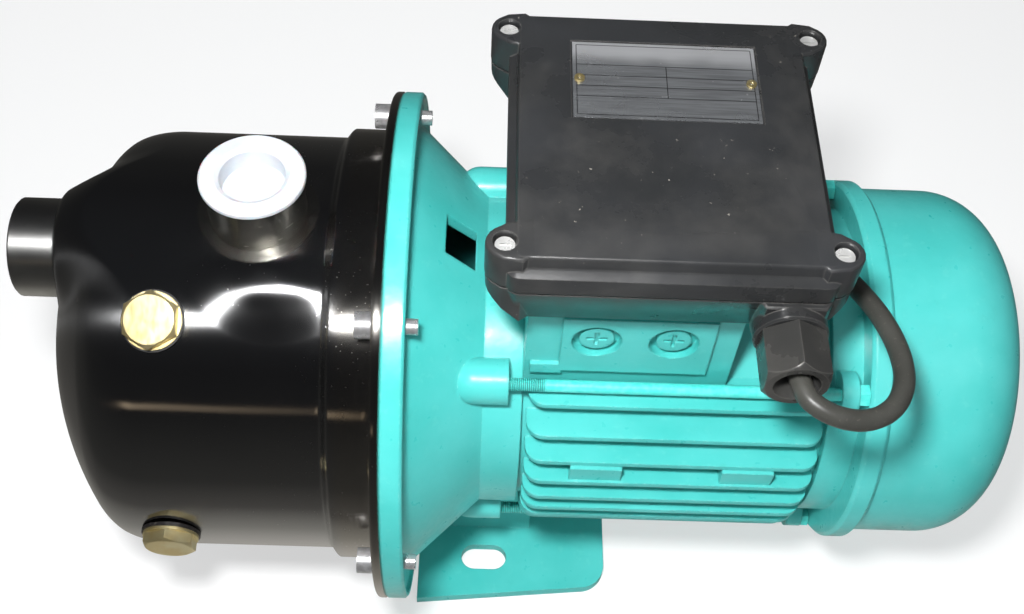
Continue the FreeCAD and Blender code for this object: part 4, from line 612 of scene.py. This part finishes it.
# Materials: a Look is one node tree around one principled shader.
class Look:
    def __init__(self, name, metallic=0.0, coat=0.0, coat_rough=0.1, ior=1.5, subsurface=0.0):
        self.material = bpy.data.materials.new(name)
        self.material.use_nodes = True
        self.tree = self.material.node_tree
        self.tree.nodes.clear()
        self.out = self.tree.nodes.new("ShaderNodeOutputMaterial")
        self.shader = self.tree.nodes.new("ShaderNodeBsdfPrincipled")
        self.link(self.shader.outputs[0], self.out.inputs["Surface"])
        self.shader.inputs["Metallic"].default_value = metallic
        self.shader.inputs["Coat Weight"].default_value = coat
        self.shader.inputs["Coat Roughness"].default_value = coat_rough
        self.shader.inputs["IOR"].default_value = ior
        if subsurface:
            self.shader.inputs["Subsurface Weight"].default_value = subsurface
            self.shader.inputs["Subsurface Scale"].default_value = 0.004
        self.place = self.tree.nodes.new("ShaderNodeTexCoord").outputs["Object"]

    def link(self, a, b):
        self.tree.links.new(a, b)

    def feed(self, socket, value):
        if isinstance(value, bpy.types.NodeSocket):
            self.link(value, socket)
        else:
            socket.default_value = value

    def mapped(self, stretch):
        node = self.tree.nodes.new("ShaderNodeMapping")
        self.link(self.place, node.inputs["Vector"])
        node.inputs["Scale"].default_value = stretch
        return node.outputs[0]

    def noise(self, scale, detail=2.0, rough=0.5, stretch=None, offset=None):
        node = self.tree.nodes.new("ShaderNodeTexNoise")
        self.link(self.mapped(stretch) if stretch else self.place, node.inputs["Vector"])
        node.inputs["Scale"].default_value = scale
        node.inputs["Detail"].default_value = detail
        node.inputs["Roughness"].default_value = rough
        if offset is not None:
            node.noise_dimensions = "4D"
            node.inputs["W"].default_value = offset
        return node.outputs["Fac"]

    def band(self, value, low, high, to_low=0.0, to_high=1.0):
        """Where a value runs from low to high, smoothly from to_low to to_high."""
        node = self.tree.nodes.new("ShaderNodeMapRange")
        node.interpolation_type = "SMOOTHSTEP"
        self.feed(node.inputs["Value"], value)
        for key, number in (("From Min", low), ("From Max", high), ("To Min", to_low), ("To Max", to_high)):
            node.inputs[key].default_value = number
        return node.outputs["Result"]

    def sum(self, kind, a, b, clamp=False):
        node = self.tree.nodes.new("ShaderNodeMath")
        node.operation = kind
        node.use_clamp = clamp
        self.feed(node.inputs[0], a)
        self.feed(node.inputs[1], b)
        return node.outputs[0]

    def blend(self, fac, a, b):
        node = self.tree.nodes.new("ShaderNodeMix")
        node.data_type = "RGBA"
        self.feed(node.inputs["Factor"], fac)
        self.feed(node.inputs["A"], a)
        self.feed(node.inputs["B"], b)
        return node.outputs["Result"]

    def parts(self):
        """The place's own x, y and z."""
        node = self.tree.nodes.new("ShaderNodeSeparateXYZ")
        self.link(self.place, node.inputs[0])
        return node.outputs

    def rounded(self, radius):
        """The surface's direction with its sharp edges rounded off."""
        node = self.tree.nodes.new("ShaderNodeBevel")
        node.samples = 4
        node.inputs["Radius"].default_value = radius
        return node.outputs[0]

    def edges(self, radius):
        """1 on sharp edges, 0 on open surfaces."""
        turned = self.rounded(radius)
        plain = self.tree.nodes.new("ShaderNodeNewGeometry").outputs["True Normal"]
        dot = self.tree.nodes.new("ShaderNodeVectorMath")
        dot.operation = "DOT_PRODUCT"
        self.link(turned, dot.inputs[0])
        self.link(plain, dot.inputs[1])
        return self.band(dot.outputs["Value"], 0.995, 0.86)

    def brushed(self, amount, axis="X"):
        """Polishing lines that run round an axis, so a light is drawn out along it."""
        node = self.tree.nodes.new("ShaderNodeTangent")
        node.direction_type = "RADIAL"
        node.axis = axis
        self.link(node.outputs[0], self.shader.inputs["Tangent"])
        self.shader.inputs["Anisotropic"].default_value = amount
        self.shader.inputs["Anisotropic Rotation"].default_value = 0.25

    def near(self, spot, radius):
        """1 at a point in the row frame, falling smoothly to 0 at a radius."""
        node = self.tree.nodes.new("ShaderNodeVectorMath")
        node.operation = "DISTANCE"
        self.link(self.place, node.inputs[0])
        node.inputs[1].default_value = spot
        return self.band(node.outputs["Value"], radius, 0.0)

    def bump(self, height, distance, strength=1.0, normal=None):
        node = self.tree.nodes.new("ShaderNodeBump")
        node.inputs["Distance"].default_value = distance
        node.inputs["Strength"].default_value = strength
        self.link(height, node.inputs["Height"])
        if normal is not None:
            self.link(normal, node.inputs["Normal"])
        return node.outputs[0]

    def finish(self, colour=None, rough=None, normal=None):
        if colour is not None:
            self.feed(self.shader.inputs["Base Color"], colour)
        if rough is not None:
            self.feed(self.shader.inputs["Roughness"], rough)
        if normal is not None:
            self.link(normal, self.shader.inputs["Normal"])
        return self.material


def casing_steel():
    """Mirror-polished drawn stainless: polishing lines, a soft swelling by the neck, scratches, dust."""
    look = Look("casing_steel", metallic=1.0)
    look.brushed(1.0)
    x = look.parts()["X"]
    lines = look.noise(1.0, detail=3.0, stretch=(2200.0, 90.0, 90.0))
    cloud = look.noise(18.0, detail=3.0)
    skirt = look.band(x, SKIRT_X - 0.002, SKIRT_X + 0.006)
    rough = look.sum("ADD", look.band(cloud, 0.3, 0.7, 0.12, 0.17), look.sum("MULTIPLY", lines, 0.02))
    rough = look.sum("ADD", rough, look.sum("MULTIPLY", skirt, 0.05))
    speck = look.band(look.noise(1000.0, detail=1.0), 0.74, 0.77)
    patchy = look.band(look.noise(42.0, detail=2.0, offset=3.0), 0.46, 0.66)
    worn = look.band(x, -0.135, -0.080, 0.25, 1.0)
    dust = look.sum("MULTIPLY", look.sum("MULTIPLY", speck, patchy), look.sum("MULTIPLY", worn, 0.8))
    colour = look.blend(cloud, srgb(172, 173, 175), srgb(190, 190, 190))
    colour = look.blend(look.sum("MULTIPLY", skirt, 0.35), colour, srgb(196, 186, 168))
    colour = look.blend(dust, colour, srgb(235, 232, 226))
    rough = look.sum("ADD", rough, look.sum("MULTIPLY", dust, 0.45), clamp=True)
    wave = look.noise(12.0, detail=1.0, offset=7.0)
    drawn = look.near(DENT_SPOT, DENT_REACH)
    dents = look.sum("MULTIPLY", look.noise(48.0, detail=1.0, offset=5.0), drawn)
    dents = look.sum("ADD", dents, look.sum("MULTIPLY", drawn, 1.2))
    height = look.sum("ADD", look.sum("MULTIPLY", wave, 0.8), look.sum("MULTIPLY", dents, 2.6))
    normal = look.bump(height, 0.0011, 1.0, look.rounded(0.0008))
    scratch = look.band(look.noise(1.0, detail=1.0, stretch=(240.0, 900.0, 160.0), offset=2.0), 0.74, 0.77)
    scratch = look.sum("MULTIPLY", look.sum("MULTIPLY", scratch, worn), patchy)
    normal = look.bump(look.sum("ADD", scratch, look.sum("MULTIPLY", lines, 0.05)), 0.000014, 1.0, normal)
    return look.finish(colour, rough, normal)


def turned_steel(name, tint, rough_low, rough_high, axis, bevel=0.0004):
    """Turned stainless: fine rings round its own axis, a satin skin."""
    look = Look(name, metallic=1.0)
    look.brushed(0.75, axis)
    stretch = (1500.0, 90.0, 90.0) if axis == "X" else (90.0, 90.0, 1500.0)
    rings = look.noise(1.0, detail=2.0, stretch=stretch)
    cloud = look.noise(48.0, detail=3.0)
    colour = look.blend(look.band(cloud, 0.3, 0.75), tint, tuple(0.80 * v for v in tint[:3]) + (1.0,))
    rough = look.band(look.sum("ADD", look.sum("MULTIPLY", rings, 0.4), look.sum("MULTIPLY", cloud, 0.6)),
                      0.3, 0.7, rough_low, rough_high)
    normal = look.bump(rings, 0.000004, 0.6, look.rounded(bevel))
    return look.finish(colour, rough, normal)


def teal_paint(name, peel, casting, bevel):
    """Semi-gloss enamel: peel is its fine skin, casting the unevenness below it."""
    look = Look(name, coat=0.25, coat_rough=0.18)
    cloud = look.noise(22.0, detail=4.0, rough=0.6)
    fine = look.noise(260.0, detail=3.0)
    colour = look.blend(look.band(cloud, 0.3, 0.7), srgb(62, 172, 167), srgb(78, 184, 180))
    colour = look.blend(look.sum("MULTIPLY", look.band(fine, 0.60, 0.72), 0.12), colour, srgb(112, 204, 196))
    grime = look.band(look.noise(95.0, detail=5.0, rough=0.7, offset=4.0), 0.58, 0.76)
    colour = look.blend(look.sum("MULTIPLY", grime, 0.22), colour, srgb(52, 142, 134))
    worn = look.edges(0.0007)
    chips = look.band(look.noise(480.0, detail=3.0, offset=9.0), 0.5, 0.7)
    chipped = look.sum("MULTIPLY", look.sum("MULTIPLY", worn, chips), 0.55)
    colour = look.blend(chipped, colour, srgb(160, 222, 215))
    rough = look.band(fine, 0.25, 0.8, 0.27, 0.42)
    height = look.sum("ADD", look.sum("MULTIPLY", look.noise(1150.0, detail=1.0), peel),
                      look.sum("MULTIPLY", look.noise(140.0, detail=3.0), casting))
    normal = look.bump(height, 0.001, 1.0, look.rounded(bevel))
    return look.finish(colour, rough, normal)


def rod_paint():
    """The same enamel on the long bolts, over their rolled thread near the bracket, with painted shade in
    the thread's grooves.
    """
    look = Look("rod_paint", coat=0.25, coat_rough=0.2)
    fine = look.noise(420.0, detail=3.0)
    colour = look.blend(look.band(fine, 0.3, 0.75), srgb(62, 196, 188), srgb(90, 206, 198))
    x = look.parts()["X"]
    wave = look.tree.nodes.new("ShaderNodeMath")
    wave.operation = "SINE"
    look.link(look.sum("MULTIPLY", x, 2 * math.pi / ROD_PITCH), wave.inputs[0])
    zone = look.band(x, ROD_THREAD_END, ROD_THREAD_END - 0.002)
    height = look.sum("MULTIPLY", look.sum("ADD", wave.outputs[0], 1.0), zone)
    # Painted shade: the thread's grooves are coloured darker, where shade would fall in them.
    groove_shade = look.sum("MULTIPLY", look.sum("SUBTRACT", 1.0, look.band(wave.outputs[0], -1.0, 0.2)), zone)
    colour = look.blend(look.sum("MULTIPLY", groove_shade, 0.7), colour, srgb(12, 78, 72))
    normal = look.bump(height, 0.0002, 1.0, look.bump(fine, 0.00008, 0.6))
    return look.finish(colour, look.band(fine, 0.3, 0.8, 0.3, 0.5), normal)


def black_plastic(name, dark, light, dusty, bevel):
    """Moulded black plastic: a faint grain, hand marks, dust and dry scratches."""
    look = Look(name, ior=1.48)
    cloud = look.noise(17.0, detail=3.0, rough=0.5)
    grain = look.noise(900.0, detail=2.0)
    specks = look.band(look.noise(520.0, detail=2.0, offset=1.0), 0.70, 0.76)
    patchy = look.band(look.noise(30.0, detail=2.0, offset=3.0), 0.45, 0.68)
    dust = look.sum("MULTIPLY", specks, patchy)
    film = look.band(look.noise(26.0, detail=5.0, rough=0.65, offset=5.0), 0.42, 0.74)
    colour = look.blend(look.band(cloud, 0.32, 0.72), dark, light)
    colour = look.blend(look.sum("MULTIPLY", film, 0.07 * dusty), colour, srgb(138, 134, 128))
    colour = look.blend(look.sum("MULTIPLY", dust, 0.45 * dusty), colour, srgb(170, 164, 154))
    scratch = look.band(look.noise(1.0, detail=2.0, stretch=(700.0, 40.0, 300.0), offset=8.0), 0.76, 0.78)
    colour = look.blend(look.sum("MULTIPLY", scratch, 0.22), colour, srgb(160, 155, 148))
    colour = look.blend(look.sum("MULTIPLY", look.edges(0.0006), 0.16), colour, srgb(150, 146, 140))
    rough = look.sum("ADD", look.band(cloud, 0.3, 0.75, 0.24, 0.36), look.sum("MULTIPLY", film, 0.12))
    height = look.sum("ADD", look.sum("MULTIPLY", grain, 0.03), look.sum("MULTIPLY", scratch, -0.02))
    normal = look.bump(height, 0.001, 1.0, look.rounded(bevel))
    return look.finish(colour, rough, normal)


def rubber(name, tint, bump):
    """Soft black rubber or cable sheath with a fine dusty grain."""
    look = Look(name, ior=1.45)
    cloud = look.noise(45.0, detail=4.0)
    fine = look.noise(700.0, detail=3.0, rough=0.6)
    colour = look.blend(look.band(cloud, 0.3, 0.7), tint, tuple(1.7 * v for v in tint[:3]) + (1.0,))
    colour = look.blend(look.sum("MULTIPLY", look.band(fine, 0.58, 0.75), 0.20), colour, srgb(130, 122, 112))
    rough = look.band(cloud, 0.3, 0.7, 0.30, 0.44)
    return look.finish(colour, rough, look.bump(fine, bump, 0.6))


def brass():
    """Machined brass: a pale tone that varies at random, fine rings and a little oxide."""
    look = Look("brass", metallic=0.92)
    cloud = look.noise(90.0, detail=3.0)
    rings = look.noise(1.0, detail=2.0, stretch=(500.0, 240.0, 240.0))
    colour = look.blend(look.band(cloud, 0.3, 0.7), srgb(248, 236, 190), srgb(236, 214, 150))
    spots = look.band(look.noise(420.0, detail=3.0, offset=6.0), 0.64, 0.76)
    colour = look.blend(look.sum("MULTIPLY", spots, 0.12), colour, srgb(150, 116, 62))
    rough = look.band(rings, 0.3, 0.7, 0.30, 0.40)
    normal = look.bump(look.sum("ADD", rings, cloud), 0.00003, 0.7, look.rounded(0.0005))
    return look.finish(colour, rough, normal)


def zinc():
    """Bright zinc plating with a faint cloudiness."""
    look = Look("zinc", metallic=0.80)
    cloud = look.noise(300.0, detail=4.0)
    colour = look.blend(look.band(cloud, 0.3, 0.7), srgb(222, 222, 224), srgb(182, 181, 182))
    rough = look.band(cloud, 0.3, 0.7, 0.26, 0.42)
    return look.finish(colour, rough, look.bump(cloud, 0.00004, 0.8, look.rounded(0.0003)))


def white_plastic():
    """Milky moulded plastic with a faint skin and a few marks."""
    look = Look("white_plastic", subsurface=0.25)
    cloud = look.noise(70.0, detail=4.0)
    fine = look.noise(620.0, detail=2.0)
    colour = look.blend(look.band(cloud, 0.3, 0.75), srgb(196, 199, 204), srgb(178, 182, 189))
    marks = look.band(look.noise(260.0, detail=5.0, rough=0.7, offset=2.0), 0.66, 0.78)
    colour = look.blend(look.sum("MULTIPLY", marks, 0.35), colour, srgb(176, 172, 164))
    normal = look.bump(look.sum("ADD", fine, cloud), 0.00006, 0.8, look.rounded(0.0006))
    return look.finish(colour, look.band(cloud, 0.3, 0.7, 0.28, 0.42), normal)


def plate():
    """Bare rolled aluminium plate: a border, empty boxes and a paler band, brushed along X."""
    look = Look("plate", metallic=0.75)
    grain = look.noise(1.0, detail=3.0, stretch=(60.0, 1400.0, 400.0))
    cloud = look.noise(38.0, detail=2.0)
    colour = look.blend(look.band(grain, 0.3, 0.7), srgb(150, 153, 156), srgb(128, 130, 133))
    x, y = look.parts()["X"], look.parts()["Y"]
    head = look.band(look.sum("ADD", y, look.sum("MULTIPLY", cloud, 0.008)), ROWS[3] + 0.002, PLATE_HIGH[1])
    colour = look.blend(look.sum("MULTIPLY", head, 0.8), colour, srgb(232, 233, 236))
    marks = look.band(look.noise(420.0, detail=3.0, offset=2.0), 0.66, 0.74)
    colour = look.blend(look.sum("MULTIPLY", marks, 0.4), colour, srgb(226, 226, 226))
    ink = None
    for axis, at, start, stop in PLATE_LINES:
        along, across = (x, y) if axis == "x" else (y, x)
        line = look.band(look.sum("ABSOLUTE", look.sum("SUBTRACT", across, at), 0.0), 0.00022, 0.00012)
        inside = look.sum("MULTIPLY", look.sum("GREATER_THAN", along, start),
                          look.sum("LESS_THAN", along, stop))
        line = look.sum("MULTIPLY", line, inside)
        ink = line if ink is None else look.sum("MAXIMUM", ink, line)
    colour = look.blend(look.sum("MULTIPLY", ink, 0.85), colour, srgb(30, 28, 30))
    rough = look.band(cloud, 0.3, 0.7, 0.26, 0.40)
    height = look.sum("ADD", grain, look.sum("MULTIPLY", cloud, 2.0))
    return look.finish(colour, rough, look.bump(height, 0.00003, 0.8, look.rounded(0.0002)))


def inner(name, first, second, metallic, rough_low, rough_high):
    """Parts inside: a plain two-tone skin with a fine grain."""
    look = Look(name, metallic=metallic)
    cloud = look.noise(140.0, detail=4.0)
    fine = look.noise(900.0, detail=2.0)
    colour = look.blend(look.band(cloud, 0.3, 0.7), first, second)
    rough = look.band(cloud, 0.3, 0.7, rough_low, rough_high)
    return look.finish(colour, rough, look.bump(fine, 0.00005, 0.7))


SKIRT_X = -0.0610
DENT_SPOT = (-0.0820, -0.0140, 0.1915)
DENT_REACH = 0.0370
ROD_PITCH = 0.0008
ROD_THREAD_END = 0.0210
PLATE_LOW, PLATE_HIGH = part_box("nameplate")
EDGE = 0.0014
DIVIDER = 0.034
ROWS = [PLATE_LOW[1] + v for v in (0.0104, 0.0156, 0.0208, 0.0262)]
PLATE_LINES = []
for level in [PLATE_LOW[1] + EDGE] + ROWS + [PLATE_HIGH[1] - EDGE]:
    PLATE_LINES.append(("x", level, PLATE_LOW[0] + EDGE, PLATE_HIGH[0] - EDGE))
for across in (PLATE_LOW[0] + EDGE, PLATE_HIGH[0] - EDGE):
    PLATE_LINES.append(("y", across, PLATE_LOW[1] + EDGE, PLATE_HIGH[1] - EDGE))
PLATE_LINES.append(("y", PLATE_LOW[0] + DIVIDER, ROWS[0], ROWS[3]))

cast = teal_paint("teal_cast", 0.018, 0.14, 0.0011)
sheet = teal_paint("teal_sheet", 0.012, 0.05, 0.0008)
box = black_plastic("box_plastic", srgb(36, 37, 38), srgb(46, 47, 49), 1.0, 0.0006)
plug_plastic = black_plastic("plug_plastic", srgb(40, 40, 41), srgb(50, 50, 51), 0.4, 0.0008)
cord_rubber = rubber("cable_rubber", srgb(50, 50, 47), 0.00005)
LOOKS = {
    "pump_casing": casing_steel(),
    "suction_socket": turned_steel("socket_steel", srgb(214, 214, 212), 0.34, 0.42, "X"),
    "discharge_socket": turned_steel("neck_steel", srgb(200, 198, 190), 0.20, 0.28, "Z"),
    "discharge_cap": white_plastic(),
    "priming_plug": brass(),
    "flange_screws": zinc(),
    "motor_bracket": cast,
    "motor_housing": cast,
    "rear_shield": cast,
    "fan_cover": sheet,
    "foot": sheet,
    "tie_rods": rod_paint(),
    "terminal_base": box,
    "terminal_cover": box,
    "gland_nut": black_plastic("nut_plastic", srgb(46, 46, 45), srgb(60, 60, 58), 1.8, 0.0006),
    "mains_plug": plug_plastic,
    "nameplate": plate(),
    "priming_seal": rubber("black_rubber", srgb(24, 23, 23), 0.0001),
    "power_cable": cord_rubber,
    "cover_screws": inner("white_zinc", srgb(232, 232, 230), srgb(205, 205, 203), 0.6, 0.25, 0.4),
    "seal_plate": inner("dull_steel", srgb(170, 168, 165), srgb(140, 138, 136), 1.0, 0.25, 0.45),
    "diffuser": inner("inner_plastic", srgb(40, 40, 42), srgb(60, 60, 60), 0.0, 0.4, 0.6),
    "seal_seat": inner("carbon", srgb(58, 58, 60), srgb(80, 80, 80), 0.0, 0.3, 0.5),
    "stator_windings": inner("copper", srgb(196, 110, 66), srgb(150, 78, 44), 1.0, 0.3, 0.5),
    "stator_core": inner("laminations", srgb(120, 118, 118), srgb(88, 86, 86), 1.0, 0.4, 0.6),
    "rotor_end_rings": inner("cast_ring", srgb(176, 176, 178), srgb(140, 140, 142), 1.0, 0.35, 0.55),
    "capacitor": inner("inner_white", srgb(226, 225, 220), srgb(200, 199, 194), 0.0, 0.35, 0.5),
}
SAME = {
    "priming_plug": ["drain_plug", "nameplate_rivets"],
    "motor_housing": ["pad_screws"],
    "priming_seal": ["drain_seal", "casing_oring", "cover_gasket", "gland_seal", "slinger"],
    "power_cable": ["plug_lead", "cable_coil"],
    "seal_plate": ["priming_boss", "drain_boss", "seal_head", "impeller_nut", "shaft", "front_bearing_outer",
                   "front_bearing_inner", "rear_bearing_outer", "rear_bearing_inner", "wave_spring"],
    "diffuser": ["ejector_body", "ejector_nozzle", "impeller", "cooling_fan"],
    "stator_core": ["rotor_core"],
    "capacitor": ["terminal_block"],
}
for like, nodes in SAME.items():
    for node in nodes:
        LOOKS[node] = LOOKS[like]

for node, material in LOOKS.items():
    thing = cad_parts[node]
    mesh = thing.data
    if not mesh.materials:
        mesh.materials.append(material)
    for slot in thing.material_slots:
        slot.material = material
DRESSED = [(cord, cord_rubber), (tie, LOOKS["priming_seal"]), (plug, plug_plastic),
           (pins, LOOKS["flange_screws"]), (casing, LOOKS["pump_casing"]), (lid, box), (base, box)]
for piece, material in DRESSED:
    piece.data.materials.append(material)

# Floor, room and lights.
FLOOR_HALF = 3.0
FLOOR_DROP = 0.0002
FLOOR_GLOW = 1.0
FLOOR_SHARE = 0.55


def make_floor():
    """A plain pale floor that glows a little where the camera looks at it."""
    mesh = bpy.data.meshes.new("floor")
    corners = [(FLOOR_HALF * sx, FLOOR_HALF * sy) for sx, sy in ((-1, -1), (1, -1), (1, 1), (-1, 1))]
    mesh.from_pydata([(x, y, -FLOOR_DROP) for x, y in corners], [], [(0, 1, 2, 3)])
    floor = bpy.data.objects.new("floor", mesh)
    bpy.context.scene.collection.objects.link(floor)
    look = Look("floor")
    cloud = look.noise(2.0, detail=3.0)
    look.finish(look.blend(cloud, (0.88, 0.88, 0.88, 1.0), (0.92, 0.92, 0.92, 1.0)), 0.75)
    seen = look.tree.nodes.new("ShaderNodeLightPath")
    glow = look.tree.nodes.new("ShaderNodeEmission")
    glow.inputs["Color"].default_value = (1.0, 1.0, 1.0, 1.0)
    glow.inputs["Strength"].default_value = FLOOR_GLOW
    mixed = look.tree.nodes.new("ShaderNodeMixShader")
    share = look.sum("MULTIPLY", seen.outputs["Is Camera Ray"], FLOOR_SHARE)
    look.link(share, mixed.inputs["Fac"])
    look.link(look.shader.outputs[0], mixed.inputs[1])
    look.link(glow.outputs[0], mixed.inputs[2])
    look.link(mixed.outputs[0], look.out.inputs["Surface"])
    mesh.materials.append(look.material)
    floor.visible_glossy = False


# A strip of pale wood in the room, low on the near side and to the left, that the casing mirrors:
# where it begins and where it is full, in the direction's own Z, X and Y.
SHELF_RISE = [(0.262, 0.270), (0.318, 0.310)]
SHELF_ACROSS = [(-0.42, -0.36), (-0.232, -0.262)]
SHELF_NEAR = [(-0.70, -0.80)]
SHELF_WOOD = (0.80, 0.62, 0.42, 1)
# What polished metal mirrors at each height, from straight down to straight up.
ROOM_STOPS = [
    (0.0, (0.50, 0.48, 0.44, 1)), (0.04, (0.32, 0.31, 0.28, 1)), (0.14, (0.105, 0.100, 0.092, 1)),
    (0.28, (0.046, 0.045, 0.042, 1)), (0.62, (0.020, 0.020, 0.020, 1)), (0.80, (0.016, 0.016, 0.017, 1)),
    (1.0, (0.022, 0.023, 0.025, 1)),
]
BACKDROP = (0.97, 0.97, 0.97, 1)
AMBIENT = (0.55, 0.58, 0.60, 1)
AMBIENT_STRENGTH = 0.45


def make_world():
    """The room: pale where it is looked at, and for reflections dark above, warm and dim low down."""
    world = bpy.data.worlds.new("room")
    world.use_nodes = True
    bpy.context.scene.world = world
    tree = world.node_tree
    tree.nodes.clear()
    out = tree.nodes.new("ShaderNodeOutputWorld")
    place = tree.nodes.new("ShaderNodeTexCoord").outputs["Generated"]
    split = tree.nodes.new("ShaderNodeSeparateXYZ")
    tree.links.new(place, split.inputs[0])
    ramp = tree.nodes.new("ShaderNodeValToRGB")
    shift = tree.nodes.new("ShaderNodeMapRange")
    tree.links.new(split.outputs["Z"], shift.inputs["Value"])
    shift.inputs["From Min"].default_value = -1.0
    shift.inputs["From Max"].default_value = 1.0
    tree.links.new(shift.outputs["Result"], ramp.inputs["Fac"])
    lowest, highest = ramp.color_ramp.elements
    lowest.position, lowest.color = ROOM_STOPS[0]
    highest.position, highest.color = ROOM_STOPS[-1]
    for position, colour in ROOM_STOPS[1:-1]:
        ramp.color_ramp.elements.new(position).color = colour
    shelf = None
    for output, edges in (("Z", SHELF_RISE), ("X", SHELF_ACROSS), ("Y", SHELF_NEAR)):
        for start, full in edges:
            step = tree.nodes.new("ShaderNodeMapRange")
            step.interpolation_type = "SMOOTHSTEP"
            tree.links.new(split.outputs[output], step.inputs["Value"])
            step.inputs["From Min"].default_value = start
            step.inputs["From Max"].default_value = full
            if shelf is None:
                shelf = step.outputs["Result"]
                continue
            both = tree.nodes.new("ShaderNodeMath")
            both.operation = "MULTIPLY"
            tree.links.new(shelf, both.inputs[0])
            tree.links.new(step.outputs["Result"], both.inputs[1])
            shelf = both.outputs[0]
    room = tree.nodes.new("ShaderNodeMix")
    room.data_type = "RGBA"
    tree.links.new(shelf, room.inputs["Factor"])
    tree.links.new(ramp.outputs["Color"], room.inputs["A"])
    room.inputs["B"].default_value = SHELF_WOOD
    seen = tree.nodes.new("ShaderNodeLightPath")
    dark = tree.nodes.new("ShaderNodeBackground")
    tree.links.new(room.outputs["Result"], dark.inputs["Color"])
    dark.inputs["Strength"].default_value = 1.0
    pale = tree.nodes.new("ShaderNodeBackground")
    pale.inputs["Color"].default_value = BACKDROP
    soft = tree.nodes.new("ShaderNodeBackground")
    soft.inputs["Color"].default_value = AMBIENT
    soft.inputs["Strength"].default_value = AMBIENT_STRENGTH
    first = tree.nodes.new("ShaderNodeMixShader")
    tree.links.new(seen.outputs["Is Diffuse Ray"], first.inputs["Fac"])
    tree.links.new(dark.outputs[0], first.inputs[1])
    tree.links.new(soft.outputs[0], first.inputs[2])
    second = tree.nodes.new("ShaderNodeMixShader")
    tree.links.new(seen.outputs["Is Camera Ray"], second.inputs["Fac"])
    tree.links.new(first.outputs[0], second.inputs[1])
    tree.links.new(pale.outputs[0], second.inputs[2])
    tree.links.new(second.outputs[0], out.inputs["Surface"])


def area_light(name, place, aim, size, watts, in_gloss=True, in_diffuse=True):
    """A round soft light, which can be kept out of reflections or out of plain shading."""
    data = bpy.data.lights.new(name, "AREA")
    data.shape = "DISK"
    data.size = size
    data.energy = watts
    light = bpy.data.objects.new(name, data)
    light.location = place
    light.rotation_euler = (Vector(aim) - Vector(place)).to_track_quat("-Z", "Y").to_euler()
    light.visible_glossy = in_gloss
    light.visible_diffuse = in_diffuse
    bpy.context.scene.collection.objects.link(light)


make_floor()
make_world()
FLASH = EYE + UP * 0.085 - RIGHT * 0.05 + BACK * 0.02
FLASH_AIM = (0.01, -0.02, 0.12)
KEY_SIZE = 0.07
KEY_WATTS = 5.2
SHINE_SIZE = 0.040
SHINE_WATTS = 3.2
FILL_PLACE = (0.5, -0.9, 1.3)
BACK_FILL_PLACE = (-0.6, 1.1, 1.2)
FILL_AIM = (0.0, 0.0, 0.1)
FILL_SIZE = 1.2
FILL_WATTS = 5.0
area_light("key", FLASH, FLASH_AIM, KEY_SIZE, KEY_WATTS, in_gloss=False)
area_light("key_shine", FLASH, FLASH_AIM, SHINE_SIZE, SHINE_WATTS, in_diffuse=False)
area_light("fill", FILL_PLACE, FILL_AIM, FILL_SIZE, FILL_WATTS, in_gloss=False)
area_light("back_fill", BACK_FILL_PLACE, FILL_AIM, FILL_SIZE, FILL_WATTS, in_gloss=False)
